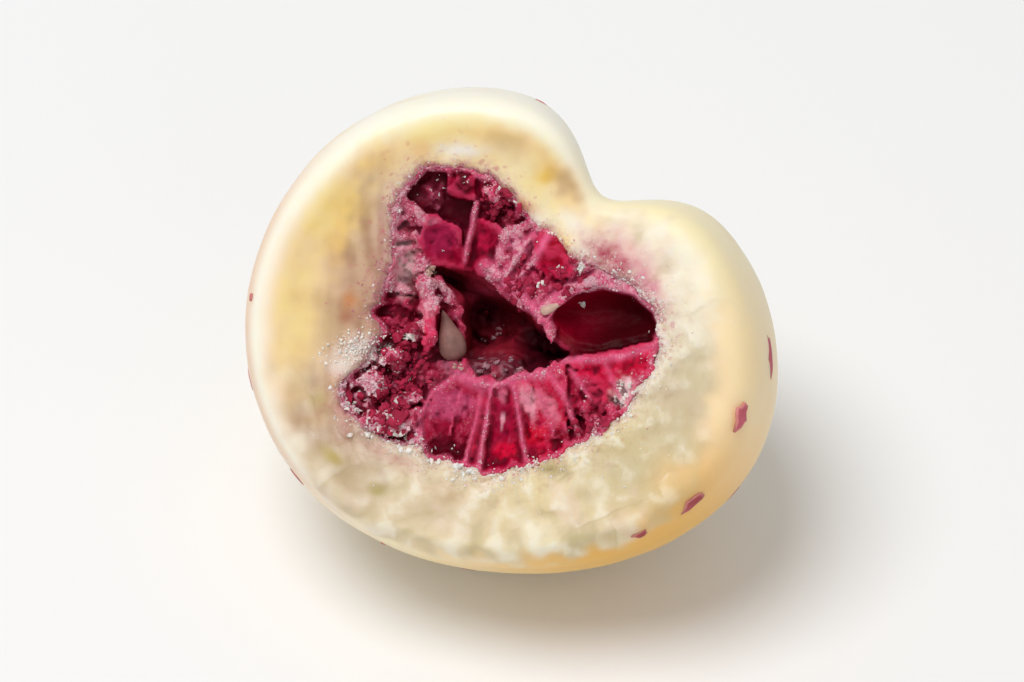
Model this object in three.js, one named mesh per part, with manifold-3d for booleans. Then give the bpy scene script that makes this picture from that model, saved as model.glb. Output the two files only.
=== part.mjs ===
// A raspberry in a thick yogurt coating, bitten open.
//
// The bite is roughly flat, so everything is described in a bite frame first:
// x to the right across the bite, y up across it, z straight out of it.
// The whole is then tipped back, so that the bite looks half upwards, and it
// rests on a small flat spot of the coating. Sizes are in millimetres.

import * as THREE from "three";
import { mergeVertices } from "three/addons/utils/BufferGeometryUtils.js";
import Module from "manifold-3d";

// ---------------------------------------------------------------- sizes

const TIP_BACK_DEG = 45; // how far the bite is tipped up from facing forwards

// Outside of the coating: a rounded lump with a groove down one side, which
// makes its section heart-shaped.
const BODY_RADIUS = 12.06;
const BODY_WAVES = [
  // [waves round the section, share of the radius, angle of the crest]
  [1, 0.017, 172.5],
  [2, 0.065, -23.0],
  [3, 0.025, -20.4],
];
const GROOVE = { depth: 3.1, angle: 57.2, width: 16.7 };
const LUMPS = [
  // shallow dents and swellings left by tumbling: direction, height, width
  { dir: [0.62, -0.28, -0.73], height: -0.42, width: 20 },
  { dir: [-0.75, 0.1, -0.65], height: 0.35, width: 26 },
  { dir: [-0.35, 0.72, -0.6], height: -0.38, width: 22 },
  { dir: [0.3, 0.35, -0.89], height: 0.3, width: 24 },
  { dir: [-0.55, -0.62, -0.55], height: -0.3, width: 18 },
  { dir: [0.85, -0.45, 0.25], height: 0.18, width: 16 },
];
const SEAT = { dir: [0.03, -0.601, -0.813], height: 0.4, width: 25 };
const REST_FLAT_DEPTH = 0.5; // how much of the underside is flattened

// The bite: a tilted, slightly scooped surface with broken, lumpy relief.
const BITE = { height: 5.0, slopeX: 0.15, slopeY: 0.0 };
const SCOOP = { depth: 1.5, extra: 0.75, towards: 135 };
const SADDLE = { x: 4.4, y: 6.9, depth: 1.8, width: 1.9 };
const RELIEF = [
  // [height, radians per mm along x, along y, phase]
  [0.13, 1.03, 0.55, 0.4],
  [0.12, -0.61, 1.37, 1.9],
  [0.09, 1.83, -1.21, 3.3],
  [0.07, 0.92, 2.34, 5.1],
  [0.06, -2.71, 0.83, 0.9],
];
const ROUGH = { least: 0.35, towards: -50 }; // the relief is deepest there
const RIM = { from: 0.8, drop: 0.9, towards: 180 }; // roundest there

// The berry: its outline in the bite, and how far it runs into the coating.
const BERRY_RADIUS = 7.02;
const BERRY_WAVES = [
  [1, 0.77, 163.1],
  [2, 0.39, -14.6],
  [3, 0.62, -7.8],
  [4, 0.69, 21.9],
  [5, 0.38, -24.2],
];
const BERRY_MIDDLE = 0.6; // where along z it is widest
const BERRY_HALF_LENGTH = 9.5;
const BERRY_AT_BITE = 0.927; // its width at the bite, as a share of the widest
const CLEARANCE = 0.35; // between the berry's outermost skin and the coating

// Drupelets stand in rings round the hollow middle: [height, how many, turn].
const DRUPELET = { across: 1.7, along: 1.75, deep: 1.9, inset: 0.1 };
const RINGS = [
  [3.3, 14, 0.3],
  [0.3, 14, 0.8],
  [-2.7, 12, 0.1],
  [-5.6, 8, 0.6],
  [-7.8, 4, 0.2],
];
const CORE_SHARE = 0.89; // the flesh that joins the drupelets

// The hollow where the berry sat on its stem, squeezed to a slot.
const HOLLOW = { x: -0.95, y: 0.6, long: 4.1, short: 1.8, angle: 143 };
const HOLLOW_Z = { middle: 3.4, half: 9.2 };

// Drupelets that the bite has opened: wedge-shaped cells, wider outwards, with
// their skins left standing between them, and one that is emptied deep.
const OPENED = { inner: 0.42, outer: 0.98, skin: 0.5, flatten: 0.95 };
const EMPTIED = { x: 4.4, y: 0.75, long: 2.6, short: 1.6, deep: 3.0, angle: -9 };

// ---------------------------------------------------------------- helpers

const wasm = await Module();
wasm.setup();

const rad = THREE.MathUtils.degToRad;
const turnFrom = (a, b) => ((((a - b) % 360) + 540) % 360) - 180;

function solid(geometry) {
  const g = geometry.clone();
  g.deleteAttribute("normal");
  g.deleteAttribute("uv");
  const merged = mergeVertices(g, 1e-4);
  return new wasm.Manifold(
    new wasm.Mesh({
      numProp: 3,
      vertProperties: new Float32Array(merged.attributes.position.array),
      triVerts: new Uint32Array(merged.index.array),
    }),
  );
}

function geometryOf(made) {
  const mesh = made.getMesh();
  const g = new THREE.BufferGeometry();
  g.setAttribute(
    "position",
    new THREE.BufferAttribute(new Float32Array(mesh.vertProperties), 3),
  );
  g.setIndex(new THREE.BufferAttribute(new Uint32Array(mesh.triVerts), 1));
  g.computeVertexNormals();
  return g;
}

function reshape(geometry, place) {
  const p = geometry.attributes.position;
  const v = new THREE.Vector3();
  for (let i = 0; i < p.count; i++) {
    place(v.fromBufferAttribute(p, i));
    p.setXYZ(i, v.x, v.y, v.z);
  }
  return geometry;
}

const join = (list) => wasm.Manifold.union(list);

// ---------------------------------------------------------------- shapes

// Distance from the middle to the outside of the coating in a direction.
function bodyRadius(d) {
  const angle = THREE.MathUtils.radToDeg(Math.atan2(d.y, d.x));
  const side = Math.min(1, Math.hypot(d.x, d.y));
  let r = BODY_RADIUS;
  for (const [n, share, crest] of BODY_WAVES)
    r += BODY_RADIUS * share * side ** n * Math.cos(n * rad(angle - crest));
  const off = turnFrom(angle, GROOVE.angle) / GROOVE.width;
  r -= GROOVE.depth * side ** 2 * Math.exp(-off * off);
  for (const lump of [...LUMPS, SEAT]) {
    const away = d.angleTo(new THREE.Vector3(...lump.dir));
    r += lump.height * Math.exp(-((away / rad(lump.width)) ** 2));
  }
  return r;
}

// Radius of the berry's outline in the bite, at an angle.
function berryOutline(angleDeg) {
  let r = BERRY_RADIUS;
  for (const [n, height, crest] of BERRY_WAVES)
    r += height * Math.cos(n * rad(angleDeg - crest));
  return r;
}

// A point on the berry's envelope in a direction, grown outwards by extra.
function berryPoint(d, share = 1, extra = 0) {
  const side = Math.hypot(d.x, d.y);
  const angle = THREE.MathUtils.radToDeg(Math.atan2(d.y, d.x));
  const r = (berryOutline(angle) / BERRY_AT_BITE) * share + extra;
  const k = side > 1e-9 ? r : 0;
  return new THREE.Vector3(
    d.x * k,
    d.y * k,
    BERRY_MIDDLE + d.z * (BERRY_HALF_LENGTH * share + extra),
  );
}

// Height of the broken surface over a point of the bite frame.
function biteHeight(x, y) {
  const angle = THREE.MathUtils.radToDeg(Math.atan2(y, x));
  const rim = bodyRadius(new THREE.Vector3(x, y, 0.0001).normalize());
  const t = Math.min(1, Math.hypot(x, y) / rim);
  const depth = SCOOP.depth + SCOOP.extra * Math.cos(rad(angle - SCOOP.towards));
  const saddle =
    SADDLE.depth *
    Math.exp(
      -((x - SADDLE.x) ** 2 + (y - SADDLE.y) ** 2) / (2 * SADDLE.width ** 2),
    );
  let z =
    BITE.height + BITE.slopeX * x + BITE.slopeY * y - depth * (1 - t * t) - saddle;
  const edge = Math.max(0, t - RIM.from) / (1 - RIM.from);
  z -= RIM.drop * edge * edge * (0.6 + 0.4 * Math.cos(rad(angle - RIM.towards)));
  const rough =
    ROUGH.least +
    (1 - ROUGH.least) * (0.5 + 0.5 * Math.cos(rad(angle - ROUGH.towards)));
  for (const [height, kx, ky, phase] of RELIEF)
    z += rough * height * Math.sin(kx * x + ky * y + phase);
  return z;
}

// Everything above the broken surface, lowered by a given amount.
function biteTool(lowered, across, steps) {
  const top = 20;
  return solid(
    reshape(new THREE.BoxGeometry(across, across, 2, steps, steps, 1), (v) => {
      v.z = v.z > 0 ? top : biteHeight(v.x, v.y) - lowered;
    }),
  );
}

function ellipsoid(centre, sizes, turnZ, detail = 1) {
  const g = new THREE.IcosahedronGeometry(1, detail);
  g.scale(...sizes);
  g.rotateZ(turnZ);
  g.translate(centre.x, centre.y, centre.z);
  return g;
}

// ---------------------------------------------------------------- coating

const down = new THREE.Vector3(
  0,
  -Math.sin(rad(TIP_BACK_DEG)),
  -Math.cos(rad(TIP_BACK_DEG)),
);

function makeCoating() {
  const outside = solid(
    reshape(new THREE.SphereGeometry(1, 46, 30).rotateX(Math.PI / 2), (v) =>
      v.normalize().multiplyScalar(bodyRadius(v.clone())),
    ),
  );
  const inside = solid(
    reshape(new THREE.SphereGeometry(1, 32, 20).rotateX(Math.PI / 2), (v) =>
      v.copy(berryPoint(v.clone().normalize(), 1, CLEARANCE)),
    ),
  );
  // the flat spot underneath, square to straight down
  let lowest = 0;
  const p = new THREE.SphereGeometry(1, 120, 80).attributes.position;
  const v = new THREE.Vector3();
  for (let i = 0; i < p.count; i++) {
    v.fromBufferAttribute(p, i).normalize();
    lowest = Math.max(lowest, bodyRadius(v) * v.dot(down));
  }
  const floor = new THREE.BoxGeometry(40, 40, 10).translate(
    0,
    0,
    -5 - lowest + REST_FLAT_DEPTH,
  );
  floor.rotateX(-rad(TIP_BACK_DEG));
  return outside
    .subtract(biteTool(0, 27, 30))
    .subtract(inside)
    .subtract(solid(floor));
}

// ---------------------------------------------------------------- berry

// How far the slot in the middle reaches at an angle.
function hollowEdge(angle) {
  for (let r = 0; ; r += 0.05) {
    const x = r * Math.cos(angle) - HOLLOW.x;
    const y = r * Math.sin(angle) - HOLLOW.y;
    const c = Math.cos(rad(HOLLOW.angle));
    const s = Math.sin(rad(HOLLOW.angle));
    const long = (x * c + y * s) / HOLLOW.long;
    const short = (y * c - x * s) / HOLLOW.short;
    if (long * long + short * short > 1) return r;
  }
}

// Drupelets are squeezed flat where they meet the coating.
function pressInside(v) {
  const angle = THREE.MathUtils.radToDeg(Math.atan2(v.y, v.x));
  const share = Math.hypot(
    (Math.hypot(v.x, v.y) * BERRY_AT_BITE) / berryOutline(angle),
    (v.z - BERRY_MIDDLE) / BERRY_HALF_LENGTH,
  );
  if (share < 1) return;
  v.z -= BERRY_MIDDLE;
  v.divideScalar(share);
  v.z += BERRY_MIDDLE;
}

function drupelet(d, size) {
  const outer = berryPoint(d, 1, -DRUPELET.inset);
  const inward = new THREE.Vector3(
    -outer.x,
    -outer.y,
    (-(outer.z - BERRY_MIDDLE) * Math.hypot(outer.x, outer.y)) / 14,
  ).normalize();
  const g = new THREE.IcosahedronGeometry(1, 1);
  g.scale(DRUPELET.deep * size, DRUPELET.across * size, DRUPELET.along * size);
  g.applyQuaternion(
    new THREE.Quaternion().setFromUnitVectors(
      new THREE.Vector3(-1, 0, 0),
      inward,
    ),
  );
  const centre = outer.addScaledVector(inward, DRUPELET.deep * size);
  g.translate(centre.x, centre.y, centre.z);
  return solid(reshape(g, pressInside));
}

// One opened cell: a trough along a radius, from the slot to the outline.
function openedCell(angle) {
  const from = hollowEdge(angle) + OPENED.skin;
  const to = berryOutline(THREE.MathUtils.radToDeg(angle)) - OPENED.skin;
  if (to - from < 1.2) return null;
  const middle = (from + to) / 2;
  const x = middle * Math.cos(angle);
  const y = middle * Math.sin(angle);
  if (Math.hypot(x - EMPTIED.x, y - EMPTIED.y) < 1.5) return null;
  const g = new THREE.CylinderGeometry(
    OPENED.outer,
    OPENED.inner,
    to - from,
    6,
    1,
  );
  g.rotateZ(-Math.PI / 2); // its axis now runs outwards along x
  g.scale(1, 1, OPENED.flatten);
  g.rotateY(-0.08);
  g.rotateZ(angle);
  return solid(g.translate(x, y, biteHeight(x, y) - 0.05));
}

function makeBerry() {
  const pieces = [
    solid(
      reshape(new THREE.SphereGeometry(1, 20, 12).rotateX(Math.PI / 2), (v) =>
        v.copy(berryPoint(v.clone().normalize(), CORE_SHARE)),
      ),
    ),
    drupelet(new THREE.Vector3(0, 0.02, -1).normalize(), 1.1),
  ];
  const cuts = [
    solid(
      ellipsoid(
        new THREE.Vector3(HOLLOW.x, HOLLOW.y, HOLLOW_Z.middle),
        [HOLLOW.long, HOLLOW.short, HOLLOW_Z.half],
        rad(HOLLOW.angle),
        2,
      ),
    ),
    solid(
      ellipsoid(
        new THREE.Vector3(
          EMPTIED.x,
          EMPTIED.y,
          biteHeight(EMPTIED.x, EMPTIED.y),
        ),
        [EMPTIED.long, EMPTIED.short, EMPTIED.deep],
        rad(EMPTIED.angle),
        1,
      ),
    ),
  ];
  RINGS.forEach(([z, count, turn], k) => {
    const dz = (z - BERRY_MIDDLE) / BERRY_HALF_LENGTH;
    const side = Math.sqrt(1 - dz * dz);
    for (let j = 0; j < count; j++) {
      const a = ((j + turn) / count) * 2 * Math.PI;
      const uneven = 1 + 0.04 * Math.sin(5.1 * j + 2.3 * k);
      const d = new THREE.Vector3(side * Math.cos(a), side * Math.sin(a), dz);
      pieces.push(drupelet(d, uneven));
      const cell = k === 0 ? openedCell(a) : null;
      if (cell) cuts.push(cell);
    }
  });
  return join(pieces).subtract(biteTool(0.25, 20, 16)).subtract(join(cuts));
}

// ---------------------------------------------------------------- object

const coatingSolid = makeCoating();
const berrySolid = makeBerry();

const coating = new THREE.Mesh(
  geometryOf(coatingSolid),
  new THREE.MeshStandardMaterial({
    color: new THREE.Color(0.93, 0.87, 0.69),
    roughness: 0.35,
    metalness: 0,
  }),
);
coating.name = "yogurt_coating";

const berry = new THREE.Mesh(
  geometryOf(berrySolid),
  new THREE.MeshStandardMaterial({
    color: new THREE.Color(0.55, 0.05, 0.18),
    roughness: 0.6,
    metalness: 0,
  }),
);
berry.name = "raspberry";

const tipped = new THREE.Group();
tipped.rotation.x = rad(TIP_BACK_DEG);
tipped.add(coating, berry);

const whole = new THREE.Group();
whole.add(tipped);
whole.updateMatrixWorld(true);
const box = new THREE.Box3().setFromObject(whole, true);
tipped.position.set(
  -(box.min.x + box.max.x) / 2,
  -(box.min.y + box.max.y) / 2,
  -box.min.z,
);

export default whole;
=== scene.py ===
import math

import bpy
import numpy as np
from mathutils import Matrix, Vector


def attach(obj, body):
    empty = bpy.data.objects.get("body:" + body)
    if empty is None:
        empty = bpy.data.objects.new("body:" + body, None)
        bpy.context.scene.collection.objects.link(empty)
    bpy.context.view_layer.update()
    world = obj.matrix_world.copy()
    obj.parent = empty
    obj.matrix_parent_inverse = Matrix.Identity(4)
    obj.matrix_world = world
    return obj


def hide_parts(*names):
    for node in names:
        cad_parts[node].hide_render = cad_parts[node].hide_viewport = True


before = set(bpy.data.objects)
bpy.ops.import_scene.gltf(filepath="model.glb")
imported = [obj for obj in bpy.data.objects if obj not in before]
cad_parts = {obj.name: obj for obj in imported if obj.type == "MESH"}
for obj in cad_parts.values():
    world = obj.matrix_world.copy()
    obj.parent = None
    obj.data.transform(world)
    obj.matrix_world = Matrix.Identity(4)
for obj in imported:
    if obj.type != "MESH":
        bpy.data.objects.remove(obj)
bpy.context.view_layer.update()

# The looks of a bitten raspberry in yogurt coating. As in the frame, the shapes
# are described in a bite frame first, in millimetres: x to the right across the
# bite, y up across it, z straight out of it. to_world() tips them back and puts
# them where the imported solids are, in metres.

TIP_BACK = math.radians(45)
OFFSET = (0.0120, -0.5412, 11.5878)

BODY_RADIUS = 12.06
BODY_WAVES = ((1, 0.017, 172.5), (2, 0.065, -23.0), (3, 0.025, -20.4))
GROOVE = (3.1, 57.2, 16.7)  # depth, angle, width
LUMPS = (
    ((0.62, -0.28, -0.73), -0.42, 20),
    ((-0.75, 0.1, -0.65), 0.35, 26),
    ((-0.35, 0.72, -0.6), -0.38, 22),
    ((0.3, 0.35, -0.89), 0.3, 24),
    ((-0.55, -0.62, -0.55), -0.3, 18),
    ((0.85, -0.45, 0.25), 0.18, 16),
    ((0.03, -0.601, -0.813), 0.4, 25),
)
BITE = (5.0, 0.15, 0.0)  # height, slope along x, slope along y
SCOOP = (1.5, 0.75, 135)  # depth, how much more, towards
SADDLE = (4.4, 6.9, 1.8, 1.9)  # x, y, depth, width

BERRY_RADIUS = 7.02
BERRY_WAVES = (
    (1, 0.77, 163.1),
    (2, 0.39, -14.6),
    (3, 0.62, -7.8),
    (4, 0.69, 21.9),
    (5, 0.38, -24.2),
)
BERRY_MIDDLE = 0.6
BERRY_HALF_LENGTH = 9.5
BERRY_AT_BITE = 0.927


# ---------------------------------------------------------------- helpers


def linear(r, g, b):
    """A colour given as 0 to 255, in linear light."""
    c = np.array([r, g, b]) / 255.0
    return np.where(c <= 0.04045, c / 12.92, ((c + 0.055) / 1.055) ** 2.4)


def mix(a, b, t):
    return a + (b - a) * t


def tinted(colour, other, t):
    return colour + (other - colour) * np.asarray(t)[:, None]


def smooth(low, high, v):
    t = np.clip((v - low) / (high - low), 0, 1)
    return t * t * (3 - 2 * t)


def to_world(P):
    c, s = math.cos(TIP_BACK), math.sin(TIP_BACK)
    x, y, z = P[:, 0], P[:, 1], P[:, 2]
    Q = np.stack([x + OFFSET[0], y * c - z * s + OFFSET[1], y * s + z * c + OFFSET[2]], 1)
    Q[:, 2] = np.maximum(Q[:, 2], 0.0)
    return Q * 0.001


def hashed(a, b, c, seed):
    """A random number from 0 to 1 for each whole-numbered place."""
    a, b, c = (np.asarray(v, np.int64).astype(np.uint32) for v in (a, b, c))
    h = a * np.uint32(0x8DA6B343) ^ b * np.uint32(0xD8163841) ^ c * np.uint32(0xCB1AB31F)
    h = h ^ np.uint32((seed * 0x9E3779B1) & 0xFFFFFFFF)
    h = (h ^ (h >> np.uint32(15))) * np.uint32(0x2C1B3C6D)
    h = (h ^ (h >> np.uint32(12))) * np.uint32(0x297A2D39)
    h = h ^ (h >> np.uint32(15))
    return h.astype(np.float64) / 4294967296.0


def noise(P, scale, seed):
    """Smooth noise of about -1 to 1 at each point, waves about scale long."""
    q = P / scale
    i = np.floor(q)
    f = q - i
    u = f * f * f * (f * (f * 6 - 15) + 10)
    i = i.astype(np.int64)
    out = np.zeros(len(P))
    for dx in (0, 1):
        for dy in (0, 1):
            for dz in (0, 1):
                w = 1.0
                for k, d in enumerate((dx, dy, dz)):
                    w = w * (u[:, k] if d else 1 - u[:, k])
                a, b, c = i[:, 0] + dx, i[:, 1] + dy, i[:, 2] + dz
                g = (hashed(a, b, c, seed) - 0.5) * (f[:, 0] - dx)
                g += (hashed(a, b, c, seed + 101) - 0.5) * (f[:, 1] - dy)
                g += (hashed(a, b, c, seed + 211) - 0.5) * (f[:, 2] - dz)
                out += w * g
    return out * 3.2


def fractal(P, scale, seed, octaves=3, keep=0.5):
    out, share, total = np.zeros(len(P)), 1.0, 0.0
    for k in range(octaves):
        out += share * noise(P, scale / 2**k, seed + 17 * k)
        total += share
        share *= keep
    return out / total


def flat_noise(x, y, scale, seed):
    return noise(np.stack([x, y, np.zeros_like(x)], 1), scale, seed)


def chips(x, y, scale, seed, tilt=1.0, sharp=12.0):
    """Broken relief: the top of many small tilted faces, about 0 on average."""
    qx, qy = x / scale, y / scale
    ix, iy = np.floor(qx), np.floor(qy)
    total = np.zeros_like(qx)
    for dx in (-1, 0, 1):
        for dy in (-1, 0, 1):
            a, b = ix + dx, iy + dy
            ox = qx - a - hashed(a, b, 0 * a, seed)
            oy = qy - b - hashed(a, b, 0 * a, seed + 1)
            h = 0.5 * hashed(a, b, 0 * a, seed + 2)
            h += tilt * (hashed(a, b, 0 * a, seed + 3) - 0.5) * 2 * ox
            h += tilt * (hashed(a, b, 0 * a, seed + 4) - 0.5) * 2 * oy
            h -= 0.9 * (ox * ox + oy * oy)
            total += np.exp(sharp * h)
    return scale * (np.log(total) / sharp - 0.42)


def outline_distance(x, y, corners):
    """Distance to a closed outline, below 0 inside it."""
    best = np.full(np.broadcast(x, y).shape, 1e9, np.float32)
    inside = np.zeros(best.shape, bool)
    for (ax, ay), (bx, by) in zip(corners, corners[1:] + corners[:1]):
        ex, ey = bx - ax, by - ay
        wx, wy = x - ax, y - ay
        t = np.clip((wx * ex + wy * ey) / (ex * ex + ey * ey), 0, 1)
        best = np.minimum(best, (wx - ex * t) ** 2 + (wy - ey * t) ** 2)
        if ey:
            inside ^= ((ay > y) != (by > y)) & (wx < wy * ex / ey)
    return np.where(inside, -1, 1) * np.sqrt(best)


def line_distance(x, y, points):
    """Distance to a line through points."""
    best = np.full(x.shape, 1e9)
    for (ax, ay), (bx, by) in zip(points, points[1:]):
        ex, ey = bx - ax, by - ay
        wx, wy = x - ax, y - ay
        t = np.clip((wx * ex + wy * ey) / (ex * ex + ey * ey), 0, 1)
        best = np.minimum(best, np.hypot(wx - ex * t, wy - ey * t))
    return best


def around(angle, towards, width):
    """1 towards a direction, falling to 0 at width degrees from it."""
    off = np.abs((np.degrees(angle) - towards + 180) % 360 - 180)
    return 1 - smooth(0.35 * width, width, off)


# ---------------------------------------------------------------- shapes


def body_radius(D):
    angle = np.degrees(np.arctan2(D[:, 1], D[:, 0]))
    side = np.minimum(1, np.hypot(D[:, 0], D[:, 1]))
    r = np.full(len(D), BODY_RADIUS)
    for n, share, crest in BODY_WAVES:
        r += BODY_RADIUS * share * side**n * np.cos(n * np.radians(angle - crest))
    off = ((angle - GROOVE[1] + 180) % 360 - 180) / GROOVE[2]
    r -= GROOVE[0] * side**2 * np.exp(-off * off)
    for d, height, width in LUMPS:
        d = np.array(d) / np.linalg.norm(d)
        away = np.arccos(np.clip(D @ d, -1, 1))
        r += height * np.exp(-((away / math.radians(width)) ** 2))
    return r


def berry_outline(angle):
    """The berry's radius in the bite, at an angle in radians."""
    r = BERRY_RADIUS
    for n, height, crest in BERRY_WAVES:
        r = r + height * np.cos(n * (angle - math.radians(crest)))
    return r


def bite_height(x, y):
    angle = np.arctan2(y, x)
    flat = np.stack([np.cos(angle), np.sin(angle), np.full_like(angle, 1e-4)], 1)
    t = np.minimum(1, np.hypot(x, y) / body_radius(flat))
    depth = SCOOP[0] + SCOOP[1] * np.cos(angle - math.radians(SCOOP[2]))
    saddle = SADDLE[2] * np.exp(
        -((x - SADDLE[0]) ** 2 + (y - SADDLE[1]) ** 2) / (2 * SADDLE[3] ** 2)
    )
    return BITE[0] + BITE[1] * x + BITE[2] * y - depth * (1 - t * t) - saddle


# ---------------------------------------------------------------- objects


def add_mesh(name, P, faces, material, colours=None, extra=None, flat=False):
    mesh = bpy.data.meshes.new(name)
    mesh.from_pydata(P.tolist(), [], faces)
    mesh.validate()
    if colours is not None:
        layer = mesh.color_attributes.new("tint", "FLOAT_COLOR", "POINT")
        rgba = np.ones((len(P), 4), np.float32)
        rgba[:, :3] = np.clip(colours, 0, 1)
        layer.data.foreach_set("color", rgba.ravel())
    for key, values in (extra or {}).items():
        layer = mesh.attributes.new(key, "FLOAT", "POINT")
        layer.data.foreach_set("value", np.asarray(values, np.float32))
    mesh.shade_flat() if flat else mesh.shade_smooth()
    mesh.materials.append(material)
    obj = bpy.data.objects.new(name, mesh)
    bpy.context.scene.collection.objects.link(obj)
    return obj


def strip(a, b):
    """Quads between two closed rows of equally many points."""
    n = len(a)
    return [(a[j], a[(j + 1) % n], b[(j + 1) % n], b[j]) for j in range(n)]


def widen(few, many):
    """Triangles from a closed row of n points up to a row of 2n."""
    n, out = len(few), []
    for j in range(n):
        k = (j + 1) % n
        out += [
            (few[j], many[2 * j + 1], many[2 * j]),
            (few[j], few[k], many[2 * j + 1]),
            (few[k], many[(2 * j + 2) % (2 * n)], many[2 * j + 1]),
        ]
    return out


def row_normals(G):
    """Normals of a grid of rows that each close on themselves."""
    along = np.roll(G, -1, 1) - np.roll(G, 1, 1)
    up = np.gradient(G, axis=0)
    n = np.cross(along, up)
    return n / np.maximum(np.linalg.norm(n, axis=2, keepdims=True), 1e-9)


# ---------------------------------------------------------------- coating

FINE = 720  # points round the bite
RING_ROWS = 84
BEND_ROWS = 14
SKIN_ROWS = 54
WALL_ROWS = 11

SKIN = linear(253, 235, 194)
SKIN_LIT = linear(255, 247, 234)
SKIN_WARM = linear(232, 174, 46)
SKIN_RIGHT = linear(255, 226, 182)
SKIN_LEFT_SHADE = linear(238, 204, 172)
BAND = linear(255, 226, 160)
BAND_PALE = linear(255, 242, 216)
CRUMB_WHITE = linear(240, 230, 208)
CRUMB_WARM = linear(231, 212, 166)
CRUMB_TAN = linear(218, 198, 168)
CRUMB_SHADE = linear(204, 188, 146)
CRUMB_PINK = linear(238, 214, 204)
GREY_TAN = linear(178, 138, 108)
PINK_DUST = linear(222, 160, 170)
STAINS_AND_SHADES = (
    # x, y, half length, half width, turn, colour, strength
    (1.64, 7.58, 0.55, 0.40, 30, linear(248, 208, 84), 0.85),
    (0.50, 6.25, 0.70, 0.30, -35, linear(212, 150, 92), 0.75),
    (-4.18, 8.82, 0.50, 0.35, 10, linear(243, 192, 112), 0.7),
    (-7.85, 0.95, 0.45, 0.30, 20, linear(172, 88, 66), 0.9),
    (-7.70, 1.75, 0.45, 0.40, 60, linear(206, 138, 84), 0.85),
    (-8.50, 0.60, 0.60, 1.20, 0, linear(196, 166, 128), 0.65),
    (-0.40, 9.20, 1.40, 0.70, -10, linear(216, 188, 132), 0.75),
    # painted shade on the lower right of the broken bite
    (7.90, -3.30, 1.00, 1.40, 20, linear(202, 184, 150), 0.6),
    (-7.20, -0.50, 1.00, 0.50, 5, linear(246, 228, 222), 0.9),
    (-8.10, -1.20, 0.70, 0.50, 20, linear(248, 234, 224), 0.8),
    (-2.50, 8.80, 1.30, 0.35, 0, linear(253, 244, 236), 0.85),
    (2.90, 5.30, 0.90, 0.50, -35, linear(252, 246, 232), 0.75),
    # painted shade in the notch
    (2.90, 7.10, 1.10, 0.70, -40, linear(198, 164, 116), 0.9),
    (-8.20, 4.60, 0.45, 1.50, -8, linear(236, 194, 124), 0.6),
    (-6.60, 9.30, 1.40, 0.45, 38, linear(255, 216, 120), 0.5),
    (-8.41, -5.64, 0.60, 0.35, -40, linear(190, 168, 86), 0.9),
    (-9.10, -2.90, 0.45, 0.35, 30, linear(196, 178, 112), 0.6),
    (-6.30, -7.23, 0.50, 0.35, 10, linear(180, 164, 96), 0.85),
    (1.82, -6.10, 0.60, 0.35, 10, linear(166, 150, 98), 0.85),
    (-2.95, -7.40, 0.70, 0.50, 0, linear(206, 178, 142), 0.75),
    (-6.20, -6.20, 0.30, 0.90, 15, linear(188, 160, 132), 0.6),
    (-7.60, -6.80, 1.30, 0.80, -35, linear(186, 164, 122), 0.65),
    (-8.00, -3.20, 0.45, 1.30, 10, linear(204, 104, 128), 0.45),
    (-5.50, -5.75, 1.20, 0.32, -24, linear(204, 104, 128), 0.40),
    (8.50, 3.90, 1.90, 1.10, 118, linear(246, 242, 230), 0.80),
    (8.60, 1.40, 1.80, 0.90, 96, linear(244, 238, 222), 0.65),
    (5.35, 3.70, 1.60, 0.80, -38, linear(226, 164, 168), 0.78),
    (4.70, 3.65, 1.40, 0.55, -38, linear(176, 54, 84), 0.95),
    (6.40, 2.40, 0.90, 0.36, -50, linear(222, 144, 160), 0.75),
    (-8.1, 6.2, 1.7, 1.0, 55, linear(255, 224, 130), 0.65),
    (-9.9, 1.6, 2.4, 0.9, 85, linear(255, 230, 156), 0.5),
    (-3.4, 10.0, 2.6, 0.7, 8, linear(255, 228, 140), 0.5),
)


def roughness_at(angle):
    """How broken the bite is: crumbly below and right, smooth left and above."""
    low = 1 - smooth(42, 116, np.abs((np.degrees(angle) + 80 + 180) % 360 - 180))
    return np.clip(np.maximum(low, around(angle, 8, 62)), 0, 1)


def ring_edge(th):
    """Where the coating ends at the berry, uneven as it broke."""
    wander = np.stack([3 * np.cos(th), 3 * np.sin(th), 0 * th], 1)
    uneven = 0.32 * noise(wander, 0.5, 9) + 0.15 * noise(wander, 0.17, 10)
    uneven = uneven + 0.06 * noise(wander, 0.06, 11)
    r = berry_outline(th) - 0.24 + np.minimum(uneven, 0.14)
    for towards, width, reach in (
        (37, 18, 0.85), (56, 10, 0.35), (183, 9, 1.2), (243, 9, -0.35), (262, 6, -0.25), (273, 6, 0.25),
    ):
        r -= reach * around(th, towards, width * 1.5)
    return r


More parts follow.
